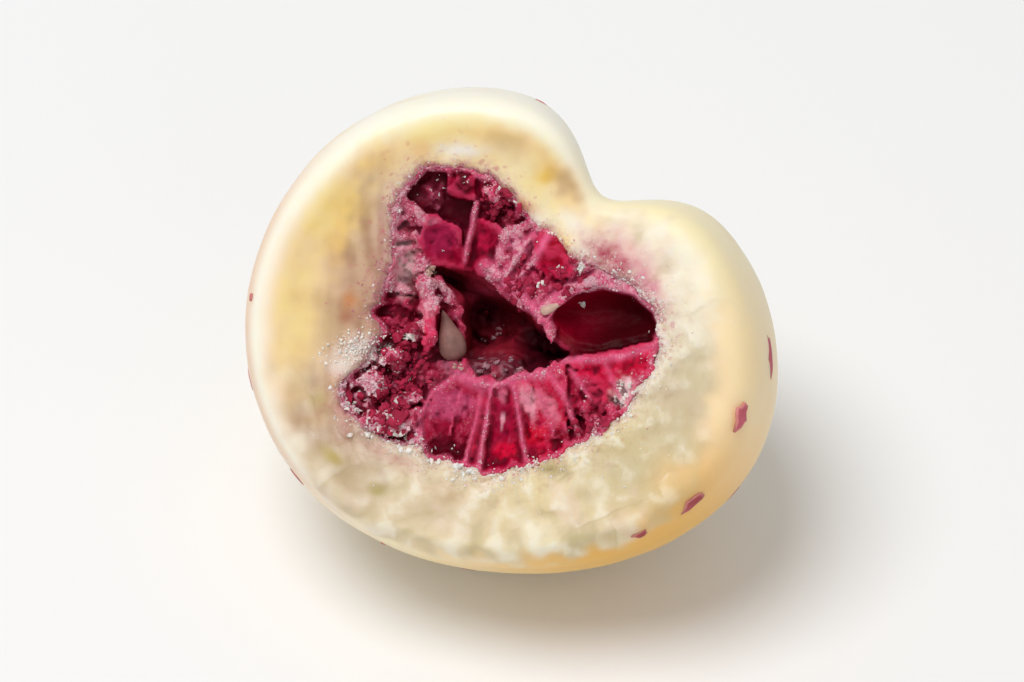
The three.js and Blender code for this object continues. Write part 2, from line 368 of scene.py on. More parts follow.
def make_coating(material):
    th = np.arange(FINE) / FINE * 2 * math.pi
    ct, st = np.cos(th), np.sin(th)

    def on_skin(polar):
        D = np.stack([np.sin(polar) * ct, np.sin(polar) * st, -np.cos(polar)], 1)
        return D * body_radius(D)[:, None]

    low, high = np.full(FINE, 1.2), np.full(FINE, 2.7)
    for _ in range(40):
        mid = (low + high) / 2
        P = on_skin(mid)
        above = P[:, 2] > bite_height(P[:, 0], P[:, 1])
        high, low = np.where(above, mid, high), np.where(above, low, mid)
    rim = (low + high) / 2
    corner = on_skin(rim)
    rim_r = np.hypot(corner[:, 0], corner[:, 1])
    rough = roughness_at(th)
    soft = 1 - rough
    wander = np.stack([3 * ct, 3 * st, 0 * ct], 1)
    lip = (0.12 + 0.88 * soft) * (1 + 0.25 * noise(wander, 1.3, 5))

    def on_bite(inward):
        r = rim_r - inward
        x, y = r * ct, r * st
        z = bite_height(x, y)
        z = z + lip * 0.42 * np.exp(-((inward / 1.5) ** 2))
        z = z - lip * 0.22 * np.exp(-(((inward - 3.1) / 1.7) ** 2))
        return np.stack([x, y, z], 1)

    bend = 0.7 + 0.75 * soft + 0.7 * around(th, 5, 65) + 0.15 * noise(wander, 0.8, 6)
    over = around(th, -95, 70)  # here the bite rolls over the edge
    rows, kind = [], []
    last_polar = rim - (bend + 1.3 * over) / 11.5
    start = on_skin(last_polar)
    tip = on_bite(0 * th)
    end = on_bite(bend)
    for k in range(BEND_ROWS):
        t = k / (BEND_ROWS - 1)
        rows.append(start * (1 - t) ** 2 + tip * 2 * t * (1 - t) + end * t * t)
        kind.append(np.full(FINE, t))
    inner = ring_edge(th)
    for k in range(1, RING_ROWS + 1):
        t = k / RING_ROWS
        rows.append(on_bite(bend + (rim_r - inner - bend) * t))
        kind.append(np.full(FINE, 1 + t))
    G = np.array(rows)
    kind = np.array(kind).ravel()
    N = row_normals(G)
    N *= np.sign(N[:, :, 2].mean())
    n_rows = len(G)
    flat = G.reshape(-1, 3)
    x, y = flat[:, 0], flat[:, 1]
    angle = np.arctan2(y, x)
    r = np.hypot(x, y)
    from_berry = np.maximum(r - np.tile(inner, n_rows), 0)
    near = np.exp(-((from_berry / 0.9) ** 1.3))
    start_at = 0.35 - 0.45 * around(angle, -95, 75)
    on_ring = smooth(0, 0.65, kind - start_at)
    rough_at = roughness_at(angle)
    patchy = 0.5 + 0.5 * smooth(-0.35, 0.35, noise(flat, 2.6, 21))
    spilt = np.exp(-((((x + 7.5) / 1.3) ** 2 + ((y + 0.7) / 0.9) ** 2) ** 1.5))
    crumb = np.clip(rough_at * patchy + 0.6 * near + 0.9 * spilt, 0, 1)

    # torn ledges that run round, waxy chips on them, and fine crumb between
    wx = x + 0.45 * noise(flat, 1.9, 31) + 0.12 * noise(flat, 0.6, 33)
    wy = y + 0.45 * noise(flat, 1.9, 32) + 0.12 * noise(flat, 0.6, 34)
    c, s = math.cos(math.radians(28)), math.sin(math.radians(28))
    along, across = wx * c + wy * s, wy * c - wx * s
    torn = chips(along / 1.6, across, 1.9, 40, tilt=1.3, sharp=6)
    ledges = chips(along / 1.4, across, 1.0, 41, tilt=1.3, sharp=6)
    waxy = chips(along / 1.3, across, 0.5, 42, tilt=1.4, sharp=7)
    hollows = -chips(along, across, 0.8, 47, tilt=0.9, sharp=6)
    little = chips(wx, wy, 0.25, 43, tilt=1.3, sharp=8)
    lumps = noise(flat, 1.1, 49)
    grain = noise(flat, 0.16, 44) + 0.6 * noise(flat, 0.09, 50)
    relief = 0.15 * torn + 0.20 * ledges + (0.11 + 0.14 * near) * waxy
    relief = relief + (0.11 + 0.12 * near) * hollows + 0.18 * lumps
    broken = np.clip(near + spilt, 0, 1)
    relief = relief + (0.07 + 0.32 * broken) * little + (0.012 + 0.038 * broken) * grain
    # how far each place stands out of what is round it
    bowl = relief.reshape(n_rows, FINE)
    for _ in range(3):
        bowl = sum(np.roll(bowl, k, 1) for k in (-4, -2, 0, 2, 4)) / 5
        up = np.pad(bowl, ((4, 4), (0, 0)), "edge")
        bowl = (up[:-8] + up[2:-6] + up[4:-4] + up[6:-2] + up[8:]) / 5
    proud = relief - bowl.ravel()
    relief = relief - 0.45 * (1 - broken) * proud
    calm = 0.07 * fractal(flat, 2.2, 45) + 0.03 * noise(flat, 0.7, 48)
    move = on_ring * (crumb * relief + (1 - crumb) * calm) + 0.02 * noise(flat, 1.4, 46)
    # the last half millimetre breaks away down to the berry
    move -= on_ring * 0.18 * np.exp(-((from_berry / 0.22) ** 2))
    flat = flat + N.reshape(-1, 3) * move[:, None]

    # colours
    # painted light: the skin is paler towards the left and the top
    pale = np.maximum(around(angle, 175, 75), around(angle, 110, 70))
    warm_shade = smooth(-2.6, -9.6, y) * smooth(-7.0, 5.0, x)
    colour = np.tile(SKIN, (len(flat), 1))
    colour = tinted(colour, SKIN_LIT, 0.9 * pale)
    colour = tinted(colour, SKIN_RIGHT, around(angle, -24, 55))
    # painted shade: the skin darker towards its left edge
    colour = tinted(colour, SKIN_LEFT_SHADE, 0.9 * around(angle, 180, 60) * smooth(0.5, 0.0, kind))
    # painted shade: the skin warmer and darker on the lower right
    colour = tinted(colour, SKIN_WARM, 0.86 * warm_shade)
    patch = smooth(-0.5, 0.5, fractal(flat, 2.2, 51))
    inward = np.tile(rim_r, n_rows) - r
    in_band = smooth(0.5, 1.5, inward) * (1 - smooth(2.6, 4.6, inward + 0.8 * noise(flat, 1.7, 52)))
    band = np.tile(BAND_PALE, (len(flat), 1))
    # painted shade: the smooth bite darker on the left
    band = tinted(band, SKIN_LEFT_SHADE, 0.8 * around(angle, 182, 55))
    band = tinted(band, BAND, in_band * (0.55 + 0.45 * patch))
    crumbly = np.tile(CRUMB_WHITE, (len(flat), 1))
    crumbly = tinted(crumbly, CRUMB_WARM, around(angle, -75, 75) * (0.35 + 0.65 * patch))
    crumbly = tinted(crumbly, CRUMB_TAN, around(angle, -138, 60) * (0.35 + 0.45 * patch))
    shade = smooth(0.0, 0.55, fractal(flat, 1.9, 57) + 0.35 * noise(flat, 0.5, 58))
    shade = shade * (0.25 + 0.75 * smooth(0.8, 2.4, from_berry)) * (0.5 + 0.5 * around(angle, -45, 80))
    shade = np.maximum(shade, 0.95 * around(angle, -30, 46) * smooth(0.0, 1.4, from_berry))
    crumbly = tinted(crumbly, CRUMB_SHADE, 0.75 * shade)
    blush = smooth(0.05, 0.5, fractal(flat, 2.1, 59))
    crumbly = tinted(crumbly, CRUMB_PINK, 0.38 * blush)
    # painted shade in the hollows of the broken relief and a painted highlight on what stands out of it
    crumbly = tinted(crumbly, CRUMB_SHADE, 0.45 * smooth(0.0, -0.09, proud))
    crumbly = tinted(crumbly, linear(252, 247, 234), 0.45 * smooth(0.0, 0.09, proud))
    bite_tone = tinted(band, crumbly, smooth(0.1, 0.6, rough_at + 0.2 * noise(flat, 1.2, 53)))
    ragged = 0.5 * rough_at * noise(flat, 1.1, 60)
    tone_ring = smooth(0, 0.65, kind - start_at + ragged * (kind > 0.05))
    far = 1 - smooth(0.0, 2.4, inward + 1.1 * noise(flat, 1.6, 65))
    tone_ring = tone_ring * (1 - 0.75 * far * around(angle, -8, 62))
    colour = tinted(colour, bite_tone, tone_ring)
    # greyish tan, streaked up and down, on the left beside the berry
    left = np.maximum(around(angle, 163, 52), 0.75 * around(angle, 200, 30))
    tan = left * (1 - smooth(1.2, 4.2, from_berry + 0.9 * noise(flat, 1.1, 54)))
    streak = smooth(-0.5, 0.6, flat_noise(x / 0.5, y / 2.2, 1.0, 55) + 0.3 * noise(flat, 0.5, 56))
    colour = tinted(colour, GREY_TAN, on_ring * tan * (0.64 + 0.34 * streak))
    # berry dust
    dusty_side = 0.40 + 0.60 * np.maximum(around(angle, 118, 60), around(angle, 28, 45))
    speck = smooth(-0.05, 0.4, noise(flat, 0.24, 61) + 0.6 * noise(flat, 0.1, 62))
    dust = on_ring * dusty_side * np.exp(-((from_berry / (0.42 + 0.25 * dusty_side)) ** 1.4))
    colour = tinted(colour, PINK_DUST, np.clip(dust * (0.3 + 0.7 * speck), 0, 1) * 0.8)
    fleck = smooth(0.42, 0.6, noise(flat, 0.28, 63)) * np.exp(-((from_berry / 1.6) ** 2))
    colour = tinted(colour, linear(196, 86, 112), 0.55 * on_ring * fleck * dusty_side)
    wob = 0.45 * noise(flat, 0.6, 71)
    for sx, sy, a, b, deg, tone, strength in STAINS_AND_SHADES:
        c, s = math.cos(math.radians(deg)), math.sin(math.radians(deg))
        away = np.hypot(((x - sx) * c + (y - sy) * s) / a, ((y - sy) * c - (x - sx) * s) / b)
        here = strength * on_ring * np.exp(-((away + wob).clip(0) ** 2))
        if tone[0] > 3 * tone[1]:  # dust of the berry lies in grains
            here = here * (0.72 + 0.28 * speck)
        colour = tinted(colour, tone, here)
    matt = on_ring * smooth(0.1, 0.6, np.maximum(crumb, tan))

    P, faces, tint, dull = [], [], [], []
    count = 0

    def put(points, tones, dulls):
        nonlocal count
        P.append(points)
        tint.append(np.broadcast_to(tones, (len(points), 3)))
        dull.append(np.broadcast_to(dulls, len(points)))
        count += len(points)
        return list(range(count - len(points), count))

    half = slice(0, FINE, 2)
    p = np.array([[0, 0, -body_radius(np.array([[0, 0, -1.0]]))[0]]])
    p[:, 2] -= 0.035 * noise(p, 2.6, 81) + 0.012 * noise(p, 0.9, 82)
    pole = put(p, SKIN, 0)[0]
    before = None
    for k in range(1, SKIN_ROWS + 1):
        p = on_skin(last_polar * k / (SKIN_ROWS + 0.5))
        d = p / np.linalg.norm(p, axis=1, keepdims=True)
        p = p + d * (0.035 * noise(p, 2.6, 81) + 0.012 * noise(p, 0.9, 82))[:, None]
        p = p[half]
        a = np.arctan2(p[:, 1], p[:, 0])
        front = smooth(-9, 4, p[:, 2])
        shade = np.tile(SKIN, (len(p), 1))
        # painted light and shade, as at the bite's edge: paler towards the top, darker on the left, warmer and darker
        # on the lower right
        shade = tinted(shade, SKIN_LIT, 0.9 * front * np.maximum(around(a, 175, 75), around(a, 110, 70)))
        shade = tinted(shade, SKIN_RIGHT, front * around(a, -24, 55))
        shade = tinted(shade, SKIN_LEFT_SHADE, 0.9 * front * around(a, 180, 60))
        shade = tinted(shade, SKIN_WARM, 0.86 * front * smooth(-2.6, -9.6, p[:, 1]) * smooth(-7.0, 5.0, p[:, 0]))
        shade = tinted(shade, SKIN_WARM, 0.24 * smooth(0.0, 0.7, fractal(p, 6.0, 83)))
        row = put(p, shade, 0)
        if before is None:
            faces += [(pole, row[(j + 1) % len(row)], row[j]) for j in range(len(row))]
        else:
            faces += strip(before, row)
        before = row
    F = flat.reshape(n_rows, FINE, 3)
    T = colour.reshape(n_rows, FINE, 3)
    M = matt.reshape(n_rows, FINE)
    row = put(F[0], T[0], M[0])
    faces += widen(before, row)
    before = row
    for k in range(1, n_rows):
        row = put(F[k], T[k], M[k])
        faces += strip(before, row)
        before = row
    # down the broken edge, then round the cavity behind the berry
    edge = F[-1]
    drop = 0.35 + 0.15 * noise(edge, 0.5, 91)
    row = put(edge - np.stack([0.05 * ct, 0.05 * st, drop], 1), T[-1], 1)
    faces += strip(before, row)
    before = row
    edge = edge[half]
    wall = edge[:, 2] - 1.5
    out = berry_outline(th[half]) / BERRY_AT_BITE + 0.35
    start_angle = np.arcsin(np.clip((wall - 0.6 - BERRY_MIDDLE) / 9.85, -1, 1))
    for k in range(WALL_ROWS + 1):
        if k == 0:
            rr, z = np.hypot(edge[:, 0], edge[:, 1]), wall
        else:
            a = mix(start_angle, -math.pi / 2, (k - 1) / WALL_ROWS)
            rr, z = out * np.cos(a), BERRY_MIDDLE + 9.85 * np.sin(a)
        row = put(np.stack([rr * ct[half], rr * st[half], z], 1), CRUMB_WARM, 1)
        faces += [f[::-1] for f in widen(row, before)] if k == 0 else strip(before, row)
        before = row
    foot = put(np.array([[0, 0, BERRY_MIDDLE - 9.85]]), CRUMB_WARM, 1)[0]
    faces += [(foot, before[j], before[(j + 1) % len(before)]) for j in range(len(before))]
    obj = add_mesh(
        "coating", to_world(np.concatenate(P)), faces, material, np.concatenate(tint),
        {"dull": np.concatenate(dull)},
    )
    return obj, F, inner


# ---------------------------------------------------------------- berry

STEP = 0.103

# Places of the opened drupelets: x, y, how deep the pulp lies below the bite,
# its slope along x and y, how bright it is, how frosted, and how grainy.
CELLS = (
    (-3.74, 6.95, 1.05, 0.10, -0.10, 0.10, 0.30, 0.9),
    (-2.25, 7.20, 0.40, -0.10, 0.10, 0.35, 0.15, 0.5),
    (-2.40, 6.05, 0.95, 0.00, 0.00, 0.06, 0.05, 0.2),
    (-3.30, 4.70, 0.30, -0.05, 0.12, 0.40, 0.12, 0.1),
    (-1.30, 4.85, 0.45, 0.25, 0.10, 0.42, 0.15, 0.3),
    (-0.70, 6.05, 0.60, 0.10, 0.20, 0.25, 0.35, 0.8),
    (0.15, 4.30, 0.18, 0.00, -0.10, 0.50, 0.85, 0.6),
    (1.90, 3.79, -0.05, -0.30, 0.28, 0.60, 0.10, 0.2),
    (3.60, 3.30, 0.15, 0.10, 0.20, 0.50, 0.95, 0.9),
    (0.93, 2.20, 0.25, 0.10, -0.10, 0.42, 0.50, 0.9),
    (4.46, 0.53, 0.80, 0.00, 0.00, 0.25, 0.00, 0.0),
    (4.99, -1.68, 0.22, -0.10, 0.16, 0.76, 0.20, 0.55),
    (3.58, -3.44, 0.40, 0.12, 0.08, 0.62, 0.32, 0.85),
    (1.64, -3.53, 0.28, 0.05, 0.14, 0.72, 0.28, 0.35),
    (-0.48, -4.06, 0.38, 0.00, 0.10, 0.58, 0.18, 0.20),
    (-2.91, -3.90, 0.40, -0.10, 0.20, 0.46, 0.30, 0.25),
    (-6.83, -3.17, 0.50, 0.10, 0.10, 0.26, 0.80, 1.3),
    (-4.89, -2.34, 0.65, 0.10, 0.00, 0.14, 0.25, 0.8),
    (-7.53, -1.59, 0.45, 0.10, 0.00, 0.26, 0.85, 1.3),
    (-5.65, 0.80, 0.75, 0.10, 0.00, 0.28, 0.30, 0.9),
    (-5.10, 3.35, 0.40, 0.10, 0.00, 0.34, 0.80, 1.1),
    (-5.20, 5.47, 0.42, 0.10, 0.00, 0.34, 0.85, 1.1),
    (-5.59, -4.43, 0.50, 0.10, 0.10, 0.26, 0.80, 1.3),
)

# Skins left standing between drupelets: half width, height over the bite,
# frost, and the line.
SKINS = (
    (0.11, -0.05, 0.60, ((-1.69, 6.37), (-1.95, 4.90), (-2.23, 3.57))),
    (0.12, -0.20, 0.30, ((-0.09, 5.20), (-0.44, 4.23), (-0.86, 3.32))),
    (0.15, 0.05, 0.85, ((1.00, 4.86), (0.45, 4.10), (-0.26, 2.96))),
    (0.12, 0.08, 0.85, ((1.68, 4.83), (1.11, 3.72), (0.35, 2.85))),
    (0.30, 0.00, 0.55, ((-1.18, 3.28), (-0.30, 2.65), (0.23, 2.15), (0.93, 1.48), (1.50, 0.85))),
    (0.30, 0.06, 0.90, ((1.55, 1.38), (2.03, 1.76), (2.87, 2.38), (4.37, 2.65), (5.70, 2.26), (6.72, 1.38), (7.21, 0.32))),
    (0.13, -0.18, 0.45, ((1.64, -0.75), (2.26, -1.02), (3.90, -1.10), (5.52, -0.80), (6.97, -0.28))),
    (0.12, -0.10, 0.30, ((1.75, -1.68), (2.61, -3.00), (3.09, -4.50))),
    (0.10, -0.02, 0.50, ((0.05, -2.20), (0.35, -3.70), (0.62, -5.73))),
    (0.10, 0.00, 0.50, ((-0.98, -2.30), (-1.25, -4.23), (-1.55, -6.20))),
    (0.12, -0.24, 0.25, ((-1.35, -2.20), (-1.75, -4.23), (-2.20, -6.00))),
    (0.12, -0.05, 0.35, ((-2.59, -1.66), (-3.79, -2.68), (-4.40, -3.74), (-4.20, -5.00))),
    (0.20, -0.08, 0.50, ((-2.59, -1.66), (-1.53, -2.26), (-0.65, -2.26), (0.41, -1.82), (1.55, -1.66))),
    (0.10, -0.20, 0.30, ((2.70, -1.45), (3.23, -2.29), (3.79, -3.03))),
    (0.10, -0.12, 0.25, ((4.37, -1.20), (4.64, -1.94), (4.99, -2.73))),
    (0.06, -0.26, 0.25, ((1.15, -2.30), (1.65, -3.50), (2.00, -4.70))),
    (0.05, -0.28, 0.25, ((-2.35, -2.40), (-2.75, -3.60), (-2.95, -4.60))),
)

# The slot in the middle, where the berry sat on its stem, and the drupelet
# that the bite emptied.
HOLLOW = [
    (-4.18, 3.32), (-3.44, 3.39), (-2.33, 3.25), (-1.15, 2.89), (-0.09, 2.08),
    (0.79, 1.20), (1.55, 0.26), (2.26, -0.39), (3.02, -0.92), (2.08, -1.45),
    (0.93, -1.66), (0.23, -1.90), (-0.74, -2.15), (-1.71, -1.87), (-2.42, -0.85),
    (-2.31, 0.00), (-2.59, 1.38), (-3.26, 2.26), (-3.97, 2.61),
]
CAVE = [
    (1.64, 0.85), (1.96, 1.38), (2.87, 2.05), (4.29, 2.36), (5.70, 2.01),
    (6.67, 1.16), (7.07, 0.32), (6.79, -0.21), (5.52, -0.63), (3.93, -0.99),
    (2.87, -0.81), (2.10, -0.18),
]
# Blocks of pulp that stand up: x, y, height over the bite, half sizes, turn,
# brightness, frost.
BLOCKS = (
    (-3.92, 0.60, -0.10, 1.25, 0.40, 0.75, 83, 1.00, 0.30),
    (-3.90, 1.95, -0.12, 0.75, 0.36, 0.60, 96, 0.70, 0.90),
    (-4.42, 0.25, -0.30, 0.70, 0.26, 0.50, 80, 0.60, 1.00),
    (1.95, 3.80, -0.35, 1.25, 0.62, 0.75, -55, 0.66, 0.05),
    (-2.25, 7.15, -0.55, 0.62, 0.55, 0.60, 80, 0.36, 0.05),
    (-0.85, 6.75, -0.25, 0.70, 0.35, 0.60, -50, 0.50, 0.70),
    (-5.00, -3.05, -0.35, 0.60, 0.40, 0.60, 25, 0.40, 0.60),
    (-6.50, -2.20, -0.30, 0.65, 0.50, 0.60, 80, 0.35, 0.80),
    (-5.60, -1.10, -0.35, 0.60, 0.40, 0.60, 120, 0.35, 0.50),
    (-6.30, -4.10, -0.30, 0.60, 0.45, 0.60, 10, 0.35, 0.80),
    (4.10, -4.30, -0.25, 0.60, 0.40, 0.60, 130, 0.65, 0.50),
    (-4.70, -3.70, -0.32, 0.45, 0.40, 0.60, 40, 0.45, 0.50),
    (-5.25, -4.10, -0.28, 0.50, 0.42, 0.70, 20, 0.40, 0.80),
)
# Colours of single places: x, y, half length, half width, turn, colour, strength.
PAINT = (
    (-3.25, -5.35, 1.10, 0.75, -15, (96, 3, 26), 0.90),
    (-2.95, -3.20, 1.20, 0.80, 5, (206, 84, 128), 0.70),
    (-0.20, -5.30, 0.70, 0.45, 8, (228, 6, 60), 0.90),
    (-0.45, -3.70, 1.10, 0.42, 90, (146, 10, 54), 0.80),
    (-0.45, -3.90, 0.50, 0.10, 84, (240, 176, 194), 0.80),
    (-0.42, -2.75, 0.35, 0.22, 90, (236, 130, 160), 0.70),
    (0.80, -2.95, 0.85, 0.42, -75, (244, 168, 186), 0.85),
    (1.65, -3.25, 0.95, 0.40, -60, (240, 142, 166), 0.70),
    (1.00, -4.60, 0.70, 0.42, 10, (218, 3, 46), 0.90),
    (2.35, -4.55, 0.70, 0.50, 15, (130, 5, 30), 0.80),
    (3.10, -3.60, 0.45, 0.30, 30, (120, 5, 28), 0.60),
    (2.75, -1.50, 0.85, 0.35, -15, (232, 16, 72), 0.85),
    (4.20, -1.75, 0.60, 0.40, -5, (204, 24, 70), 0.70),
    (5.30, -1.50, 0.80, 0.40, 5, (180, 2, 42), 0.80),
    (4.55, -1.95, 0.55, 0.50, 0, (206, 6, 56), 0.85),
    (4.00, -2.50, 0.60, 0.60, 20, (228, 64, 104), 0.60),
    (5.25, -2.60, 0.75, 0.62, 75, (250, 222, 224), 0.95),
    (-3.40, 4.70, 1.00, 0.85, 10, (164, 30, 76), 0.85),
    (-3.95, 5.50, 0.60, 0.22, 5, (222, 124, 152), 0.70),
    (-2.50, 4.90, 0.22, 0.70, 5, (112, 10, 42), 0.70),
    (-1.45, 4.90, 0.35, 1.05, 8, (206, 28, 76), 0.80),
    (-0.90, 6.05, 0.75, 0.35, -40, (84, 2, 22), 0.85),
    (-0.85, 4.00, 0.35, 0.32, 0, (100, 4, 30), 0.80),
    (0.20, 4.45, 0.95, 0.50, -42, (222, 116, 152), 0.65),
    (1.95, 3.90, 0.95, 0.60, -50, (154, 2, 34), 0.90),
    (1.30, 2.75, 1.10, 0.40, -40, (182, 26, 72), 0.55),
    (-2.30, 7.25, 0.62, 0.52, 80, (80, 2, 16), 0.95),
    (-3.75, 6.90, 0.70, 0.60, 30, (120, 22, 46), 0.85),
    (-2.30, 6.05, 0.50, 0.42, 0, (66, 0, 14), 0.90),
    (-3.95, 0.20, 0.55, 0.34, 84, (220, 16, 66), 0.95),
    (-3.95, 1.40, 0.60, 0.42, 84, (244, 164, 180), 0.90),
    (-5.70, 0.85, 0.48, 0.90, -10, (140, 10, 46), 0.80),
    (-5.00, -2.50, 0.65, 0.75, 20, (98, 2, 24), 0.85),
    (-3.70, -1.60, 0.60, 0.40, 0, (158, 16, 54), 0.60),
    (-5.20, 3.50, 0.75, 1.50, 0, (234, 196, 198), 0.90),
    (-6.40, -0.75, 0.80, 0.45, 10, (238, 206, 208), 0.85),
    (-6.90, -2.20, 0.50, 0.70, 0, (216, 150, 166), 0.60),
    (-5.30, 5.60, 0.50, 0.80, 0, (206, 136, 152), 0.60),
    (3.90, 3.50, 1.30, 0.70, -38, (216, 122, 152), 0.60),
    (-2.60, -1.55, 0.90, 0.40, -25, (206, 120, 144), 0.50),
)


def grid_noise(axes, scale, seed):
    """Smooth noise of spread 1 on a whole grid."""
    rng = np.random.RandomState(seed)
    weights = []
    for v in axes:
        t = (v - v[0]) / scale + 1
        i = np.floor(t).astype(int)
        f = t - i
        W = np.zeros((len(v), i.max() + 3), np.float32)
        at = np.arange(len(v))
        W[at, i - 1] = (1 - f) ** 3 / 6
        W[at, i] = (3 * f**3 - 6 * f**2 + 4) / 6
        W[at, i + 1] = (-3 * f**3 + 3 * f**2 + 3 * f + 1) / 6
        W[at, i + 2] = f**3 / 6
        weights.append(W)
    out = rng.normal(size=[W.shape[1] for W in weights]).astype(np.float32)
    for k, W in enumerate(weights):
        out = np.moveaxis(np.tensordot(W, out, axes=(1, k)), 0, k)
    return out / out.std()


def blurred(A, spread):
    """A map smoothed by a bell of the given spread, in steps."""
    reach = int(3 * spread) + 1
    k = np.exp(-(np.arange(-reach, reach + 1) ** 2) / (2 * spread * spread))
    k /= k.sum()
    for axis in (0, 1):
        A = np.apply_along_axis(lambda v: np.convolve(np.pad(v, reach, "edge"), k, "valid"), axis, A)
    return A


def surface_nets(F, xs, ys, zs):
    """The surface where F is 0, as points and outward quads."""
    S = F < 0
    shape = tuple(n - 1 for n in F.shape)
    total = np.zeros(shape, np.int8)
    for a in (0, 1):
        for b in (0, 1):
            for c in (0, 1):
                total += S[a : a + shape[0], b : b + shape[1], c : c + shape[2]]
    I, J, K = np.nonzero((total > 0) & (total < 8))
    index = np.full(shape, -1, np.int64)
    index[I, J, K] = np.arange(len(I))
    place = np.zeros((len(I), 3))
    count = np.zeros(len(I))
    for axis in range(3):
        others = [k for k in range(3) if k != axis]
        for u in (0, 1):
            for v in (0, 1):
                d = [0, 0, 0]
                d[others[0]], d[others[1]] = u, v
                e = list(d)
                e[axis] = 1
                fa = F[I + d[0], J + d[1], K + d[2]]
                fb = F[I + e[0], J + e[1], K + e[2]]
                cross = (fa < 0) != (fb < 0)
                t = np.where(cross, fa / np.where(cross, fa - fb, 1), 0)
                spot = np.tile(np.array(d, float), (len(I), 1))
                spot[:, axis] = t
                place[cross] += spot[cross]
                count[cross] += 1
    place /= count[:, None]
    P = np.stack(
        [
            xs[I] + place[:, 0] * (xs[I + 1] - xs[I]),
            ys[J] + place[:, 1] * (ys[J + 1] - ys[J]),
            zs[K] + place[:, 2] * (zs[K + 1] - zs[K]),
        ],
        1,
    )
    quads = []
    for axis in range(3):
        lo, hi = [slice(None)] * 3, [slice(None)] * 3
        lo[axis], hi[axis] = slice(0, -1), slice(1, None)
        at = np.stack(np.nonzero(S[tuple(lo)] != S[tuple(hi)]), 1)
        u, v = [k for k in range(3) if k != axis]
        ok = (at[:, u] > 0) & (at[:, v] > 0)
        ok &= (at[:, u] < F.shape[u] - 1) & (at[:, v] < F.shape[v] - 1)
        at = at[ok]
        inside = S[at[:, 0], at[:, 1], at[:, 2]]
        q = []
        for du, dv in ((1, 1), (0, 1), (0, 0), (1, 0)):
            c = at.copy()
            c[:, u] -= du
            c[:, v] -= dv
            q.append(index[c[:, 0], c[:, 1], c[:, 2]])
        q = np.stack(q, 1)
        flip = ~inside if axis != 1 else inside
        q[flip] = q[flip][:, ::-1]
        quads.append(q)
    return P, np.concatenate(quads)


def filled_pinches(F):
    """Fills cells that would touch the solid only along an edge."""
    for _ in range(12):
        found = 0
        for axis in range(3):
            u, v = [k for k in range(3) if k != axis]

            def corner(du, dv):
                at = [slice(None)] * 3
                at[u] = slice(1, None) if du else slice(0, -1)
                at[v] = slice(1, None) if dv else slice(0, -1)
                return F[tuple(at)]

            A, B, C, D = corner(0, 0), corner(1, 0), corner(0, 1), corner(1, 1)
            one = (A < 0) & (D < 0) & (B >= 0) & (C >= 0)
            B[one] = -0.004
            two = (B < 0) & (C < 0) & (A >= 0) & (D >= 0)
            A[two] = -0.004
            found += int(one.sum() + two.sum())
        if not found:
            break
    return F


def largest_part(P, Q):
    """Drops loose specks: keeps the biggest connected piece."""
    label = np.arange(len(P))
    edges = np.concatenate([Q[:, [0, 1]], Q[:, [1, 2]], Q[:, [2, 3]], Q[:, [3, 0]]])
    while True:
        low = np.minimum(label[edges[:, 0]], label[edges[:, 1]])
        new = label.copy()
        np.minimum.at(new, edges[:, 0], low)
        np.minimum.at(new, edges[:, 1], low)
        new = new[new]
        if (new == label).all():
            break
        label = new
    keep = label == np.bincount(label).argmax()
    number = np.cumsum(keep) - 1
    return P[keep], number[Q[keep[Q[:, 0]]]]


